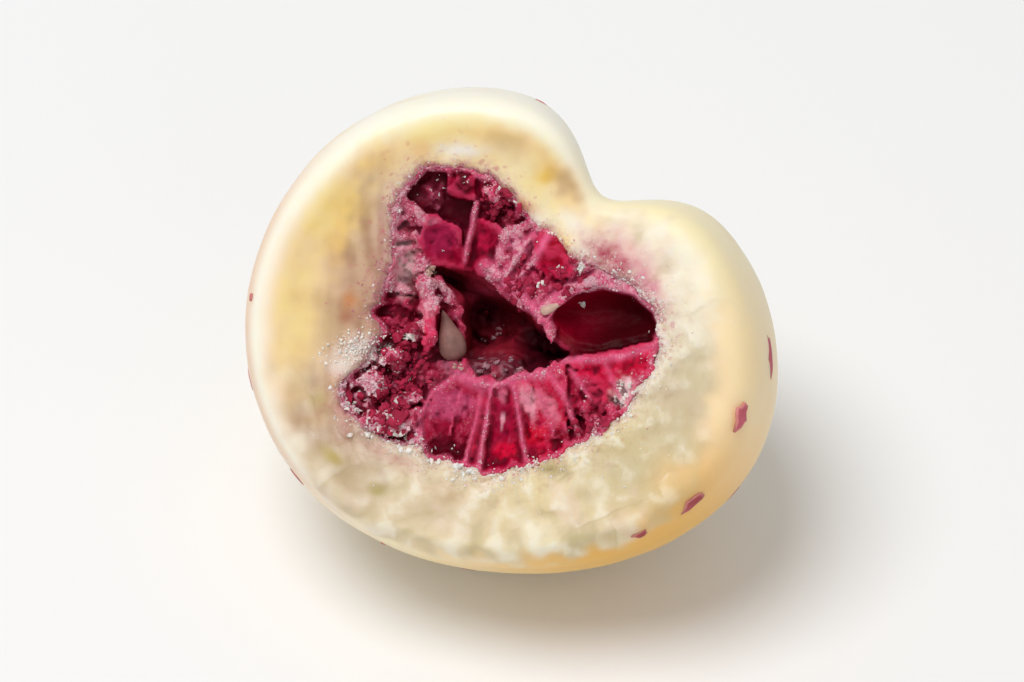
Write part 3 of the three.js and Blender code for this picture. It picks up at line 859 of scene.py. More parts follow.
def berry_map(x, y):
    """The broken berry over places of the bite: height, brightness, frost, grain."""
    wx = x + 0.17 * flat_noise(x, y, 1.4, 101) + 0.06 * flat_noise(x, y, 0.5, 103)
    wy = y + 0.17 * flat_noise(x, y, 1.4, 102) + 0.06 * flat_noise(x, y, 0.5, 104)
    d2 = np.stack([(wx - c[0]) ** 2 + (wy - c[1]) ** 2 for c in CELLS], 1)
    order = np.argsort(d2, axis=1)[:, :2]
    first, second = order[:, 0], order[:, 1]
    S = np.array([c[:2] for c in CELLS])
    gap = np.linalg.norm(S[first] - S[second], axis=1)
    rows = np.arange(len(x))
    wall = (d2[rows, second] - d2[rows, first]) / (2 * gap)
    C = np.array(CELLS)[first]
    base = bite_height(x, y) - 0.22
    angle = np.arctan2(y, x)
    r = np.hypot(x, y)
    out = berry_outline(angle) - r

    # dried pulp breaks into blocks with flat faces, drawn out along the radius
    across = angle * 5.5
    block = chips(r / 1.6, across, 0.78, 111, tilt=1.5, sharp=18)
    block += 0.55 * chips(r / 1.5, across, 0.34, 112, tilt=1.4, sharp=18)
    block += 0.35 * chips(wx, wy, 0.21, 113, tilt=1.3, sharp=16)
    floor = base - C[:, 2] + C[:, 3] * (x - C[:, 0]) + C[:, 4] * (y - C[:, 1])
    floor += (0.06 + 0.60 * C[:, 7]) * block
    floor -= 0.25 * np.exp(-((wall / 0.13) ** 2)) * C[:, 7].clip(0, 1)
    floor -= 0.30 * smooth(0.0, 0.7, wall) * (1 - C[:, 7].clip(0, 1))
    floor += (0.03 + 0.05 * C[:, 7]) * flat_noise(x, y, 0.22, 114)
    floor += 0.05 * flat_noise(x, y, 0.6, 115)
    z, tone, frost = floor, C[:, 5].copy(), C[:, 6].copy()
    on_skin = np.zeros(len(x))
    for k, (half, lift, white, line) in enumerate(SKINS):
        sway = 0.05 * flat_noise(x, y, 0.9, 131 + k) + 0.02 * flat_noise(x, y, 0.25, 151 + k)
        d = np.maximum(line_distance(mix(x, wx, 0.4), mix(y, wy, 0.4), line) + sway, 0) / half
        top = base + lift - 0.03 + 0.14 * flat_noise(x, y, 0.8, 171 + k) - 0.26 * d**1.3
        here = np.exp(-0.6 * d * d)
        z = np.maximum(z, top)
        frost = np.maximum(frost, white * here)
        tone = mix(tone, np.maximum(tone, 0.6), here)
        on_skin = np.maximum(on_skin, here * min(1.0, 0.35 + 1.2 * white))
    # the drupelets' outer skins, stuck to the coating
    out = ring_edge(angle) - r
    side = np.exp(-((out.clip(0) / 0.32) ** 2))
    lift = base + 0.02 + 0.14 * flat_noise(x, y, 0.5, 123)
    z = mix(z, np.maximum(lift, floor), side)
    white = 0.45 + 0.50 * np.maximum(around(angle, 115, 85), around(angle, 22, 50))
    white = np.maximum(white, 0.95 * around(angle, 205, 45))
    edge = np.exp(-((out.clip(0) / 0.60) ** 1.5)) * (0.75 + 0.35 * flat_noise(x, y, 0.8, 124))
    frost = np.maximum(frost, white * edge)
    heap = np.exp(-(((x + 6.3) / 1.3) ** 2 + ((y + 2.6) / 1.7) ** 2))
    frost = np.maximum(frost, 0.95 * heap * (0.7 + 0.5 * flat_noise(x, y, 0.5, 125)))
    z = np.maximum(z, base - 0.85 + 0.25 * block)
    # nothing stands through the coating where that covers the berry
    reach = r - ring_edge(angle)
    cover = bite_height(x, y) - 0.12 - 0.95 * smooth(-0.25, 0.55, reach)
    z = np.where(reach > -0.25, np.minimum(z, cover), z)
    return z, tone, frost, C[:, 7], base, on_skin


def make_berry(material):
    xs = np.arange(-9.6, 8.2, STEP)
    ys = np.arange(-7.6, 9.4, STEP)
    zs = np.concatenate([np.arange(-9.5, -1.4, 0.45), np.arange(-1.2, 1.3, 0.2), np.arange(1.4, 6.9, STEP)])
    X, Y = np.meshgrid(xs, ys, indexing="ij")
    maps = [v.reshape(X.shape) for v in berry_map(X.ravel(), Y.ravel())]
    z_top, tone, frost, grain, base, on_skin = maps
    X3, Y3 = X[:, :, None].astype(np.float32), Y[:, :, None].astype(np.float32)
    Z = zs[None, None, :].astype(np.float32)
    n1 = grid_noise((xs, ys, zs), 0.5, 1)
    n2 = grid_noise((xs, ys, zs), 0.2, 2)
    n3 = grid_noise((xs, ys, zs), 1.3, 3)

    angle = np.arctan2(Y3, X3)
    edge = ring_edge(np.arctan2(Y, X).ravel()).reshape(X.shape)[:, :, None]
    out = np.maximum(berry_outline(angle) / BERRY_AT_BITE, 1.096 * edge + 0.165).astype(np.float32)
    share = np.sqrt((np.hypot(X3, Y3) / out) ** 2 + ((Z - BERRY_MIDDLE) / BERRY_HALF_LENGTH) ** 2)
    F = ((share - 1) * 6.5).astype(np.float32)
    # the drupelets' bulges on the hidden side
    level = (Z - BERRY_MIDDLE) / 2.9
    odd = np.floor(level + 0.5) % 2
    bump = np.cos(angle * 15 + odd * math.pi) * 0.5 + 0.5
    bump = bump * (np.cos(level * 2 * math.pi) * 0.5 + 0.5)
    F += 0.55 * (1 - bump).astype(np.float32) * (Z < 2.0)

    F = np.maximum(F, Z - z_top[:, :, None].astype(np.float32))
    floor = base[:, :, None].astype(np.float32)
    for x, y, lift, a, b, c, deg, _, _ in BLOCKS:
        u = ((X3 - x) * math.cos(math.radians(deg)) + (Y3 - y) * math.sin(math.radians(deg))) / a
        v = ((Y3 - y) * math.cos(math.radians(deg)) - (X3 - x) * math.sin(math.radians(deg))) / b
        w = (Z - floor - lift) / c
        body = (np.abs(u) ** 3 + np.abs(v) ** 3 + np.abs(w) ** 3) ** (1 / 3) - 1
        F = np.minimum(F, body * b + 0.05 * n1)

    # the bed of the seed at the slot's side
    turn = math.radians(108)
    u = (X3 + 2.88) * math.cos(turn) + (Y3 - 0.18) * math.sin(turn)
    v = (Y3 - 0.18) * math.cos(turn) - (X3 + 2.88) * math.sin(turn)
    bed = np.sqrt((u / 1.30) ** 2 + (v / 0.80) ** 2 + ((Z - floor + 0.05) / 0.75) ** 2) - 1
    F = np.maximum(F, -0.7 * bed)
    # the slot and the emptied drupelet
    below = floor - Z
    lean = np.exp(-(((X3 + 1.1) / 1.3) ** 2 + ((Y3 - 2.4) / 0.9) ** 2))
    wall = outline_distance(X3 + 0.10 * n3, Y3 + 0.10 * n1, HOLLOW)
    wall = wall + (0.07 + 0.33 * lean) * np.maximum(below, 0)
    lie = Y3 + 0.55 * np.maximum(X3, 0)
    deep = 1.3 + 3.4 * smooth(-1.75, -0.1, lie + 0.25 * n3)
    slot = np.maximum(wall, below - deep - 0.34 * n1 - 0.16 * n2)
    F = np.maximum(F, -slot)
    wall = outline_distance(X3 + 0.05 * n3, Y3 - 0.30 * np.maximum(below, 0), CAVE)
    bowl = 2.3 * (1 - np.exp(np.minimum(wall, 0) / 0.80)) + 0.06 * n3
    F = np.maximum(F, -np.maximum(wall, below - bowl))
    rough = (0.022 + 0.032 * grain[:, :, None]) * (1 - smooth(1.2, 2.2, below))
    smooth_in = 1 - 0.8 * np.exp(-((np.minimum(wall, 0) + 1.2) ** 2)) * (wall < 0.05)
    F = F + (rough * (0.8 * n1 + 0.9 * n2) * smooth_in + 0.01 * n2) * (Z > 1.0)
    F[0], F[-1], F[:, 0], F[:, -1], F[:, :, 0], F[:, :, -1] = 1, 1, 1, 1, 1, 1
    F = filled_pinches(F.astype(np.float32))
    P, Q = surface_nets(F, xs, ys, zs)
    P, Q = largest_part(P, Q)
    full = F < 0
    top_at = np.where(full.any(2), zs[F.shape[2] - 1 - full[:, :, ::-1].argmax(2)], -9.0)

    # how each place looks
    fx, fy = (P[:, 0] - xs[0]) / STEP, (P[:, 1] - ys[0]) / STEP
    i = np.clip(fx.astype(int), 0, len(xs) - 2)
    j = np.clip(fy.astype(int), 0, len(ys) - 2)
    tx, ty = fx - i, fy - j

    def read(A):
        return (
            A[i, j] * (1 - tx) * (1 - ty) + A[i + 1, j] * tx * (1 - ty)
            + A[i, j + 1] * (1 - tx) * ty + A[i + 1, j + 1] * tx * ty
        )

    stands = np.maximum(top_at, base - 2.5)
    proud = read(stands - blurred(stands, 2.6)) + 0.7 * read(stands - blurred(stands, 1.1))
    tone_at, frost_at, grain_at, skin_at = read(tone), read(frost), read(grain), read(on_skin)
    below = read(base) - P[:, 2]
    under = read(stands) - P[:, 2]
    block_at = np.zeros(len(P))
    for x, y, lift, a, b, c, deg, bright_here, white in BLOCKS:
        u = ((P[:, 0] - x) * math.cos(math.radians(deg)) + (P[:, 1] - y) * math.sin(math.radians(deg))) / a
        v = ((P[:, 1] - y) * math.cos(math.radians(deg)) - (P[:, 0] - x) * math.sin(math.radians(deg))) / b
        here = (1 - smooth(0.9, 1.2, np.hypot(u, v))) * (1 - smooth(0.5, 1.0, below))
        tone_at = mix(tone_at, bright_here, here)
        frost_at = mix(frost_at, white, here)
        block_at = np.maximum(block_at, here)
    tone_at = tone_at + 0.16 * fractal(P, 0.9, 131) + 0.10 * noise(P, 0.25, 134)
    # painted shade: pulp that lies deeper below the bite is darker
    tone_at = np.clip(tone_at - 0.25 * smooth(0.5, 1.3, below) * (1 - block_at), 0, 1)
    dark, mid, bright = linear(74, 2, 18), linear(166, 9, 52), linear(226, 10, 64)
    colour = mix(dark, mid, smooth(0.02, 0.48, tone_at)[:, None])
    colour = mix(colour, bright, smooth(0.5, 0.95, tone_at)[:, None])
    sway = 0.35 * noise(P, 0.45, 135) + 0.2 * noise(P, 0.16, 136)
    for x, y, a, b, deg, shade, strength in PAINT:
        c, n = math.cos(math.radians(deg)), math.sin(math.radians(deg))
        u = ((P[:, 0] - x) * c + (P[:, 1] - y) * n) / a
        v = ((P[:, 1] - y) * c - (P[:, 0] - x) * n) / b
        here = 1 - smooth(0.55, 1.25, np.hypot(u, v) + sway)
        colour = tinted(colour, linear(*shade), strength * here * (1 - 0.7 * skin_at))
    # painted shade darkens the crevices and a painted highlight lightens the raised edges
    colour = tinted(colour, linear(78, 3, 20), 0.75 * smooth(-0.02, -0.20, proud))
    colour = tinted(colour, linear(226, 64, 108), 0.45 * smooth(0.03, 0.18, proud))
    # the skins left standing let the light through
    colour = tinted(colour, linear(236, 112, 154), 0.85 * skin_at * smooth(0.9, 0.2, below))

    in_slot = outline_distance(P[:, 0], P[:, 1], HOLLOW)
    in_slot = (1 - smooth(-0.15, 0.15, in_slot)) * smooth(0.25, 1.0, below)
    nearer = 1 - smooth(-1.6, -0.4, P[:, 1] + 0.55 * np.maximum(P[:, 0], 0))
    lining = tinted(np.tile(linear(146, 30, 48), (len(P), 1)), linear(112, 44, 60), nearer * 0.9)
    lining = tinted(lining, linear(186, 138, 148), nearer * smooth(0.1, 0.5, noise(P, 0.35, 161)) * 0.7)
    haze = np.exp(-(((P[:, 0] + 0.9) / 1.2) ** 2 + ((P[:, 1] - 2.3) / 0.7) ** 2))
    lining = tinted(lining, linear(156, 48, 72), 0.8 * haze)
    # painted shade: the slot goes near black towards its lower right end and at a place deep inside it
    lining = tinted(lining, linear(34, 2, 10), 0.88 * smooth(-0.2, 0.9, P[:, 0]) * smooth(1.0, 0.1, P[:, 1]))
    depth = np.exp(-(((P[:, 0] + 1.2) / 1.0) ** 2 + ((P[:, 1] - 0.9) / 0.8) ** 2))
    lining = tinted(lining, linear(34, 2, 10), 0.85 * depth)
    colour = tinted(colour, lining, 0.95 * in_slot)
    cave = outline_distance(P[:, 0], P[:, 1], CAVE)
    in_cave = (1 - smooth(-0.22, 0.02, cave)) * smooth(0.15, 0.6, below)
    # the emptied drupelet: dark red at its left end, going into painted shade, near black, at its right end
    glow = smooth(2.0, -2.0, (P[:, 0] - 3.6) * 0.9 - (P[:, 1] - 0.9) * 0.7)
    inside = mix(linear(62, 0, 8), linear(146, 3, 33), glow[:, None])
    colour = tinted(colour, inside, 0.95 * in_cave)

    grains = smooth(-0.35, 0.55, noise(P, 0.19, 141) + 0.5 * noise(P, 0.5, 142))
    frost_at = frost_at * (0.60 + 0.40 * smooth(-0.5, 0.5, noise(P, 0.9, 143)))
    frost_at = frost_at + 0.30 * smooth(0.02, 0.16, proud) * (0.2 + frost_at)
    frost_at = frost_at * (1 - 0.75 * smooth(-0.02, -0.12, proud))
    hide = (1 - 0.97 * in_cave) * (1 - 0.85 * in_slot) * (1 - smooth(0.55, 1.3, below) * 0.75)
    hide = hide * (1 - 0.6 * smooth(0.25, 0.6, under))
    frost_at = np.clip(frost_at * hide, 0, 1.2)
    k = frost_at * (0.55 + 0.60 * grains)
    colour = tinted(colour, linear(204, 84, 122), 0.72 * smooth(0.06, 0.55, k))
    colour = tinted(colour, linear(230, 178, 188), 0.70 * smooth(0.45, 1.05, k))
    obj = add_mesh(
        "berry", to_world(P), Q.tolist(), material, colour, {"frost": np.clip(frost_at, 0, 1)}
    )

    def height(x, y):
        a = np.clip(((np.asarray(x) - xs[0]) / STEP).round().astype(int), 0, len(xs) - 1)
        b = np.clip(((np.asarray(y) - ys[0]) / STEP).round().astype(int), 0, len(ys) - 1)
        return top_at[a, b]

    return obj, P, Q, frost_at, height


# ---------------------------------------------------------------- materials


def new_material(name):
    m = bpy.data.materials.new(name)
    m.use_nodes = True
    nodes, links = m.node_tree.nodes, m.node_tree.links
    return m, nodes, links, nodes["Principled BSDF"]


def node(nodes, kind, **values):
    n = nodes.new(kind)
    for key, value in values.items():
        setattr(n, key, value)
    return n


def noise_node(nodes, links, scale, detail=3.0, rough=0.55):
    where = node(nodes, "ShaderNodeTexCoord")
    n = node(nodes, "ShaderNodeTexNoise")
    n.inputs["Scale"].default_value = scale
    n.inputs["Detail"].default_value = detail
    n.inputs["Roughness"].default_value = rough
    links.new(where.outputs["Object"], n.inputs["Vector"])
    return n


def ramp(nodes, links, source, stops):
    n = node(nodes, "ShaderNodeMapRange")
    n.inputs["From Min"].default_value = stops[0]
    n.inputs["From Max"].default_value = stops[1]
    n.inputs["To Min"].default_value = stops[2]
    n.inputs["To Max"].default_value = stops[3]
    links.new(source, n.inputs["Value"])
    return n.outputs["Result"]


def times(nodes, links, a, b):
    n = node(nodes, "ShaderNodeMath", operation="MULTIPLY")
    links.new(a, n.inputs[0])
    links.new(b, n.inputs[1])
    return n.outputs[0]


def mix_colour(nodes, links, factor, a, b, blend="MIX"):
    n = node(nodes, "ShaderNodeMix", data_type="RGBA", blend_type=blend)
    for socket, value in (("Factor", factor), ("A", a), ("B", b)):
        s = [i for i in n.inputs if i.name == socket and i.enabled][0]
        if isinstance(value, bpy.types.NodeSocket):
            links.new(value, s)
        else:
            s.default_value = value
    return [o for o in n.outputs if o.enabled][0]


def coating_material():
    m, nodes, links, shader = new_material("yogurt coating")
    tint = node(nodes, "ShaderNodeAttribute", attribute_name="tint")
    dull = node(nodes, "ShaderNodeAttribute", attribute_name="dull")
    cloud = noise_node(nodes, links, 260.0, 4.0)
    fine = noise_node(nodes, links, 5200.0, 3.0)
    shade = ramp(nodes, links, cloud.outputs["Fac"], (0.3, 0.7, 0.0, 0.12))
    colour = mix_colour(nodes, links, shade, tint.outputs["Color"], (0.96, 0.86, 0.62, 1), "MULTIPLY")
    links.new(colour, shader.inputs["Base Color"])
    gloss = ramp(nodes, links, dull.outputs["Fac"], (0.0, 1.0, 0.36, 0.70))
    links.new(gloss, shader.inputs["Roughness"])
    shader.inputs["Specular IOR Level"].default_value = 0.35
    shader.inputs["Subsurface Weight"].default_value = 0.6
    shader.inputs["Subsurface Radius"].default_value = (1.0, 0.85, 0.55)
    shader.inputs["Subsurface Scale"].default_value = 0.0014
    bump = node(nodes, "ShaderNodeBump")
    bump.inputs["Distance"].default_value = 0.00003
    strength = ramp(nodes, links, dull.outputs["Fac"], (0.0, 1.0, 0.05, 0.6))
    links.new(strength, bump.inputs["Strength"])
    links.new(fine.outputs["Fac"], bump.inputs["Height"])
    links.new(bump.outputs["Normal"], shader.inputs["Normal"])
    return m


def berry_material():
    m, nodes, links, shader = new_material("dried raspberry")
    tint = node(nodes, "ShaderNodeAttribute", attribute_name="tint")
    frost = node(nodes, "ShaderNodeAttribute", attribute_name="frost")
    grain = noise_node(nodes, links, 7500.0, 2.0, 0.6)
    blot = noise_node(nodes, links, 1700.0, 3.0)
    shade = ramp(nodes, links, blot.outputs["Fac"], (0.35, 0.65, 0.0, 0.3))
    colour = mix_colour(nodes, links, shade, tint.outputs["Color"], (0.60, 0.38, 0.44, 1), "MULTIPLY")
    spots = ramp(nodes, links, grain.outputs["Fac"], (0.50, 0.66, 0.0, 0.6))
    amount = times(nodes, links, spots, ramp(nodes, links, frost.outputs["Fac"], (0.15, 0.8, 0.0, 1.0)))
    colour = mix_colour(nodes, links, amount, colour, (0.80, 0.52, 0.56, 1))
    links.new(colour, shader.inputs["Base Color"])
    gloss = ramp(nodes, links, frost.outputs["Fac"], (0.0, 0.6, 0.42, 0.85))
    links.new(gloss, shader.inputs["Roughness"])
    shader.inputs["Specular IOR Level"].default_value = 0.06
    shader.inputs["Subsurface Weight"].default_value = 0.2
    shader.inputs["Subsurface Radius"].default_value = (1.0, 0.08, 0.16)
    shader.inputs["Subsurface Scale"].default_value = 0.0005
    bump = node(nodes, "ShaderNodeBump")
    bump.inputs["Distance"].default_value = 0.00005
    bump.inputs["Strength"].default_value = 0.6
    links.new(grain.outputs["Fac"], bump.inputs["Height"])
    links.new(bump.outputs["Normal"], shader.inputs["Normal"])
    return m


def plain_material(name, colour, roughness, spread=0.25, scale=4000.0, glow=0.0):
    """A small piece's material: its colour varies a little over it."""
    m, nodes, links, shader = new_material(name)
    cloud = noise_node(nodes, links, scale, 3.0)
    if colour is None:
        shade = ramp(nodes, links, cloud.outputs["Fac"], (0.3, 0.7, 0.0, spread))
        tint = node(nodes, "ShaderNodeAttribute", attribute_name="tint")
        tone = mix_colour(nodes, links, shade, tint.outputs["Color"], (0.5, 0.3, 0.35, 1), "MULTIPLY")
    else:
        shade = ramp(nodes, links, cloud.outputs["Fac"], (0.3, 0.7, 0.0, 1.0))
        other = tuple(float(v * (1 - spread)) for v in colour) + (1.0,)
        tone = mix_colour(nodes, links, shade, tuple(float(v) for v in colour) + (1.0,), other)
    links.new(tone, shader.inputs["Base Color"])
    shader.inputs["Roughness"].default_value = roughness
    shader.inputs["Specular IOR Level"].default_value = 0.3
    if glow:
        shader.inputs["Subsurface Weight"].default_value = glow
        shader.inputs["Subsurface Radius"].default_value = (1.0, 0.7, 0.6)
        shader.inputs["Subsurface Scale"].default_value = 0.0004
    bump = node(nodes, "ShaderNodeBump")
    bump.inputs["Distance"].default_value = 0.00003
    bump.inputs["Strength"].default_value = 0.5
    links.new(cloud.outputs["Fac"], bump.inputs["Height"])
    links.new(bump.outputs["Normal"], shader.inputs["Normal"])
    return m


# ---------------------------------------------------------------- small pieces

GOLD = (1 + 5**0.5) / 2
ICO = np.array(
    [(-1, GOLD, 0), (1, GOLD, 0), (-1, -GOLD, 0), (1, -GOLD, 0),
     (0, -1, GOLD), (0, 1, GOLD), (0, -1, -GOLD), (0, 1, -GOLD),
     (GOLD, 0, -1), (GOLD, 0, 1), (-GOLD, 0, -1), (-GOLD, 0, 1)], float
)
ICO /= np.linalg.norm(ICO[0])
ICO_FACES = np.array(
    [(0, 11, 5), (0, 5, 1), (0, 1, 7), (0, 7, 10), (0, 10, 11),
     (1, 5, 9), (5, 11, 4), (11, 10, 2), (10, 7, 6), (7, 1, 8),
     (3, 9, 4), (3, 4, 2), (3, 2, 6), (3, 6, 8), (3, 8, 9),
     (4, 9, 5), (2, 4, 11), (6, 2, 10), (8, 6, 7), (9, 8, 1)]
)


def grains(centres, sizes, rng, uneven=0.35, stretch=0.45):
    """Many small broken grains: points and faces of one mesh."""
    n = len(centres)
    shape = 1 + uneven * (rng.rand(n, 12, 1) - 0.5) * 2
    size = np.asarray(sizes, float)
    if size.ndim == 1:
        size = size[:, None] * (1 + stretch * (rng.rand(n, 3) - 0.5) * 2)
    V = ICO[None] * shape * size[:, None, :]
    a, b = rng.rand(n) * 2 * math.pi, rng.rand(n) * 2 * math.pi
    ca, sa, cb, sb = np.cos(a), np.sin(a), np.cos(b), np.sin(b)
    R = np.zeros((n, 3, 3))
    R[:, 0, 0], R[:, 0, 1] = ca, -sa
    R[:, 1, 0], R[:, 1, 1], R[:, 1, 2] = sa * cb, ca * cb, -sb
    R[:, 2, 0], R[:, 2, 1], R[:, 2, 2] = sa * sb, ca * sb, cb
    V = np.einsum("nij,nkj->nki", R, V) + np.asarray(centres)[:, None]
    faces = (ICO_FACES[None] + 12 * np.arange(n)[:, None, None]).reshape(-1, 3)
    return V.reshape(-1, 3), [tuple(f) for f in faces.tolist()]


def clump(x, y, long, wide, deg, height, rng, lift=0.0):
    """One broken lump: shards heaped along it."""
    n = 4 + int(9 * long * wide / 0.25)
    t = rng.rand(n) * 2 * math.pi
    r = np.sqrt(rng.rand(n))
    u, v = r * np.cos(t) * long * 0.42, r * np.sin(t) * wide * 0.42
    c, s = math.cos(math.radians(deg)), math.sin(math.radians(deg))
    px, py = x + u * c - v * s, y + u * s + v * c
    size = wide * (0.20 + 0.16 * rng.rand(n)) * (1.15 - 0.5 * r)
    pz = height(px, py) + size * 0.35 + 0.25 * wide * (1 - r) + lift
    return grains(np.stack([px, py, pz], 1), size, rng, 0.5, 0.7)


def seed_shape(length, width, thick, turn, tilt, centre, rings=16, around_n=20):
    """A teardrop seed, wide at its foot, as rows of points, and its faces."""
    P, faces = [], []
    for i in range(rings + 1):
        t = i / rings
        half = math.sin(math.pi * t**0.66) ** 0.75 * (0.84 + 0.22 * math.cos(math.pi * t))
        for j in range(around_n):
            a = 2 * math.pi * j / around_n
            dent = 1 + 0.05 * math.sin(5 * a + 7 * t) * math.sin(9 * t)
            P.append(((t - 0.5) * length, half * width / 2 * math.cos(a) * dent, half * thick / 2 * math.sin(a) * dent))
    P = np.array(P)
    first, last = P[:around_n].mean(0), P[-around_n:].mean(0)
    P = np.concatenate([P[around_n:-around_n], [first, last]])
    rows = [list(range(k * around_n, (k + 1) * around_n)) for k in range(rings - 1)]
    for a, b in zip(rows, rows[1:]):
        faces += strip(a, b)
    n = len(P)
    faces += [(n - 2, rows[0][(j + 1) % around_n], rows[0][j]) for j in range(around_n)]
    faces += [(n - 1, rows[-1][j], rows[-1][(j + 1) % around_n]) for j in range(around_n)]
    c, s = math.cos(tilt), math.sin(tilt)
    P = np.stack([P[:, 0] * c - P[:, 2] * s, P[:, 1], P[:, 2] * c + P[:, 0] * s], 1)
    c, s = math.cos(turn), math.sin(turn)
    P = np.stack([P[:, 0] * c - P[:, 1] * s, P[:, 0] * s + P[:, 1] * c, P[:, 2]], 1)
    return P + np.array(centre), faces


def joined(parts):
    P, faces, start = [], [], 0
    for p, f in parts:
        P.append(p)
        faces += [tuple(i + start for i in face) for face in f]
        start += len(p)
    return np.concatenate(P), faces


def make_flakes(material, rng):
    """Flat broken flakes of dried berry, set in the coating's skin."""
    spots = [
        # where it shows in the bite frame (x, y), half length, flatness, turn
        (12.20, -0.70, 0.92, 0.50, 104), (10.90, -3.75, 0.80, 0.75, 66),
        (8.52, -7.83, 0.85, 0.60, 26), (6.04, -9.22, 0.50, 0.75, 22),
        (-12.38, 1.94, 0.26, 0.55, 80), (1.45, 11.1, 0.26, 0.45, -42),
    ]
    D, size, thin, turn = [], [], [], []
    for x, y, s, k, deg in spots:
        a = math.atan2(y, x)
        R = body_radius(np.array([[math.cos(a), math.sin(a), 1e-4]]))[0]
        r = min(math.hypot(x, y), R * 0.995)
        d = np.array([r * math.cos(a), r * math.sin(a), math.sqrt(max(R * R - r * r, 0.01))])
        D.append(d / np.linalg.norm(d))
        size.append(s), thin.append(k), turn.append(math.radians(deg))
    tries = rng.normal(size=(1400, 3))
    tries /= np.linalg.norm(tries, axis=1, keepdims=True)
    for d in tries:
        if d[2] > 0.02 or min(np.linalg.norm(d - e) for e in D) < 0.13:
            continue
        if hashed(int(d[0] * 3 + 9), int(d[1] * 3 + 9), int(d[2] * 3 + 9), 8) < 0.5:
            continue
        D.append(d)
        size.append(0.16 + 0.62 * rng.rand() ** 2.2)
        thin.append(0.40 + 0.5 * rng.rand())
        turn.append(rng.rand() * math.pi)
        if len(D) > 64:
            break
    parts, tones = [], []
    for d, s, k, a in zip(D, size, thin, turn):
        n = rng.randint(9, 14)
        t = (np.arange(n) + 0.7 * (rng.rand(n) - 0.5)) / n * 2 * math.pi
        rad = s * (0.50 + 0.62 * rng.rand(n) ** 1.6)
        rad[rng.randint(n)] *= 1.35
        u = np.cross(d, [0, 0, 1.0])
        u /= np.linalg.norm(u)
        v = np.cross(d, u)
        if v[1] < 0:
            u, v = -u, -v
        right = np.array([1.0, 0, 0]) - d[0] * d
        up = np.array([0, 1.0, 0]) - d[1] * d
        e = math.cos(a) * right + math.sin(a) * up
        e /= np.linalg.norm(e)
        f = np.cross(d, e)
        across = np.outer(rad * np.cos(t), e) + np.outer(rad * k * np.sin(t), f)
        R0 = body_radius(d[None])[0]
        rows = []
        for share, lift in ((1.0, -0.12), (1.0, 0.012), (0.72, 0.034)):
            Q = d * R0 + across * share
            Q /= np.linalg.norm(Q, axis=1, keepdims=True)
            rows.append(Q * (body_radius(Q) + lift)[:, None])
        P = np.concatenate(rows + [[d * (R0 + 0.05)], [d * (R0 - 0.14)]])
        idx = [list(range(i * n, (i + 1) * n)) for i in range(3)]
        faces = strip(idx[0], idx[1]) + strip(idx[1], idx[2])
        faces += [(idx[2][j], idx[2][(j + 1) % n], 3 * n) for j in range(n)]
        faces += [(idx[0][(j + 1) % n], idx[0][j], 3 * n + 1) for j in range(n)]
        parts.append((P, faces))
        deep = rng.rand()
        tone = mix(linear(216, 104, 122), linear(176, 68, 72), deep)
        edge = mix(tone, linear(236, 176, 160), 0.55)
        tones.append(np.concatenate([np.tile(edge, (2 * n, 1)), np.tile(tone, (n + 1, 1)), edge[None]]))
    P, faces = joined(parts)
    return add_mesh("berry_flakes", to_world(P), faces, material, np.concatenate(tones))


# ---------------------------------------------------------------- build

coating, F, inner = make_coating(coating_material())
berry, BP, BQ, frost, height = make_berry(berry_material())

rng = np.random.RandomState(4)


def base_at(x, y):
    return float(bite_height(np.array([float(x)]), np.array([float(y)]))[0]) - 0.22


# fine white powder on the frosted parts of the berry
N = np.cross(BP[BQ[:, 2]] - BP[BQ[:, 0]], BP[BQ[:, 3]] - BP[BQ[:, 1]])
area = np.linalg.norm(N, axis=1)
facing = np.abs(N[:, 2]) / np.maximum(area, 1e-12)
middle = BP[BQ].mean(1)
cluster = smooth(-0.1, 0.6, fractal(middle, 0.8, 301))
chance = area * (frost[BQ[:, 0]] - 0.25).clip(0, 1) ** 1.3 * (facing > 0.3) * (middle[:, 2] > 1.5)
chance = chance * (0.08 + cluster)
pick = rng.choice(len(BQ), 6400, p=chance / chance.sum())
spots = middle[pick] + 0.02 * rng.normal(size=(len(pick), 3))
coarse = np.hypot(spots[:, 0] + 6.0, spots[:, 1] + 3.2) < 2.6
size = 0.012 + 0.016 * rng.rand(len(pick)) + (0.03 + 0.06 * coarse) * rng.rand(len(pick)) ** 6
P, faces = grains(spots, size, rng, 0.5, 0.7)
powder = add_mesh(
    "sugar_powder", to_world(P), faces,
    plain_material("pale powder", linear(240, 196, 204), 0.7, 0.15, glow=0.3), flat=True,
)

# crumbs of coating, most where the bite broke it, some fallen on the berry
n_rows = F.shape[0]
rows = n_rows - 1 - (rng.rand(9000) ** 1.7 * (n_rows - 30)).astype(int)
cols = rng.randint(0, FINE, 9000)
spot = F[rows, cols]
ang = np.arctan2(spot[:, 1], spot[:, 0])
away = np.hypot(spot[:, 0], spot[:, 1]) - inner[cols]
broken = 0.15 + 0.85 * roughness_at(ang)
keep = rng.rand(9000) < (0.02 * broken + 0.5 * broken * np.exp(-((away / 0.7) ** 2))) * smooth(
    -0.5, 0.4, fractal(spot, 1.1, 311)
)
on_ring = spot[keep] + np.array([0, 0, 0.01])
a = rng.rand(1700) * 2 * math.pi
r = ring_edge(a) - np.abs(rng.normal(size=1700)) * 0.40
x, y = r * np.cos(a), r * np.sin(a)
fallen = np.stack([x, y, height(x, y) + 0.02], 1)
fallen = fallen[
    (rng.rand(1700) < (0.22 + 0.78 * np.maximum(around(a, 215, 45), 0.5 * around(a, 100, 60)))
     * smooth(-0.3, 0.4, fractal(fallen, 0.9, 312)))
    & (fallen[:, 2] > bite_height(x, y) - 1.2)
]
n = 560
x, y = -7.05 + 0.85 * rng.normal(size=n), -0.60 + 0.42 * rng.normal(size=n)
near_left = F[:, int(FINE * 170 / 360) : int(FINE * 205 / 360)].reshape(-1, 3)
at = ((near_left[None, :, 0] - x[:, None]) ** 2 + (near_left[None, :, 1] - y[:, None]) ** 2).argmin(1)
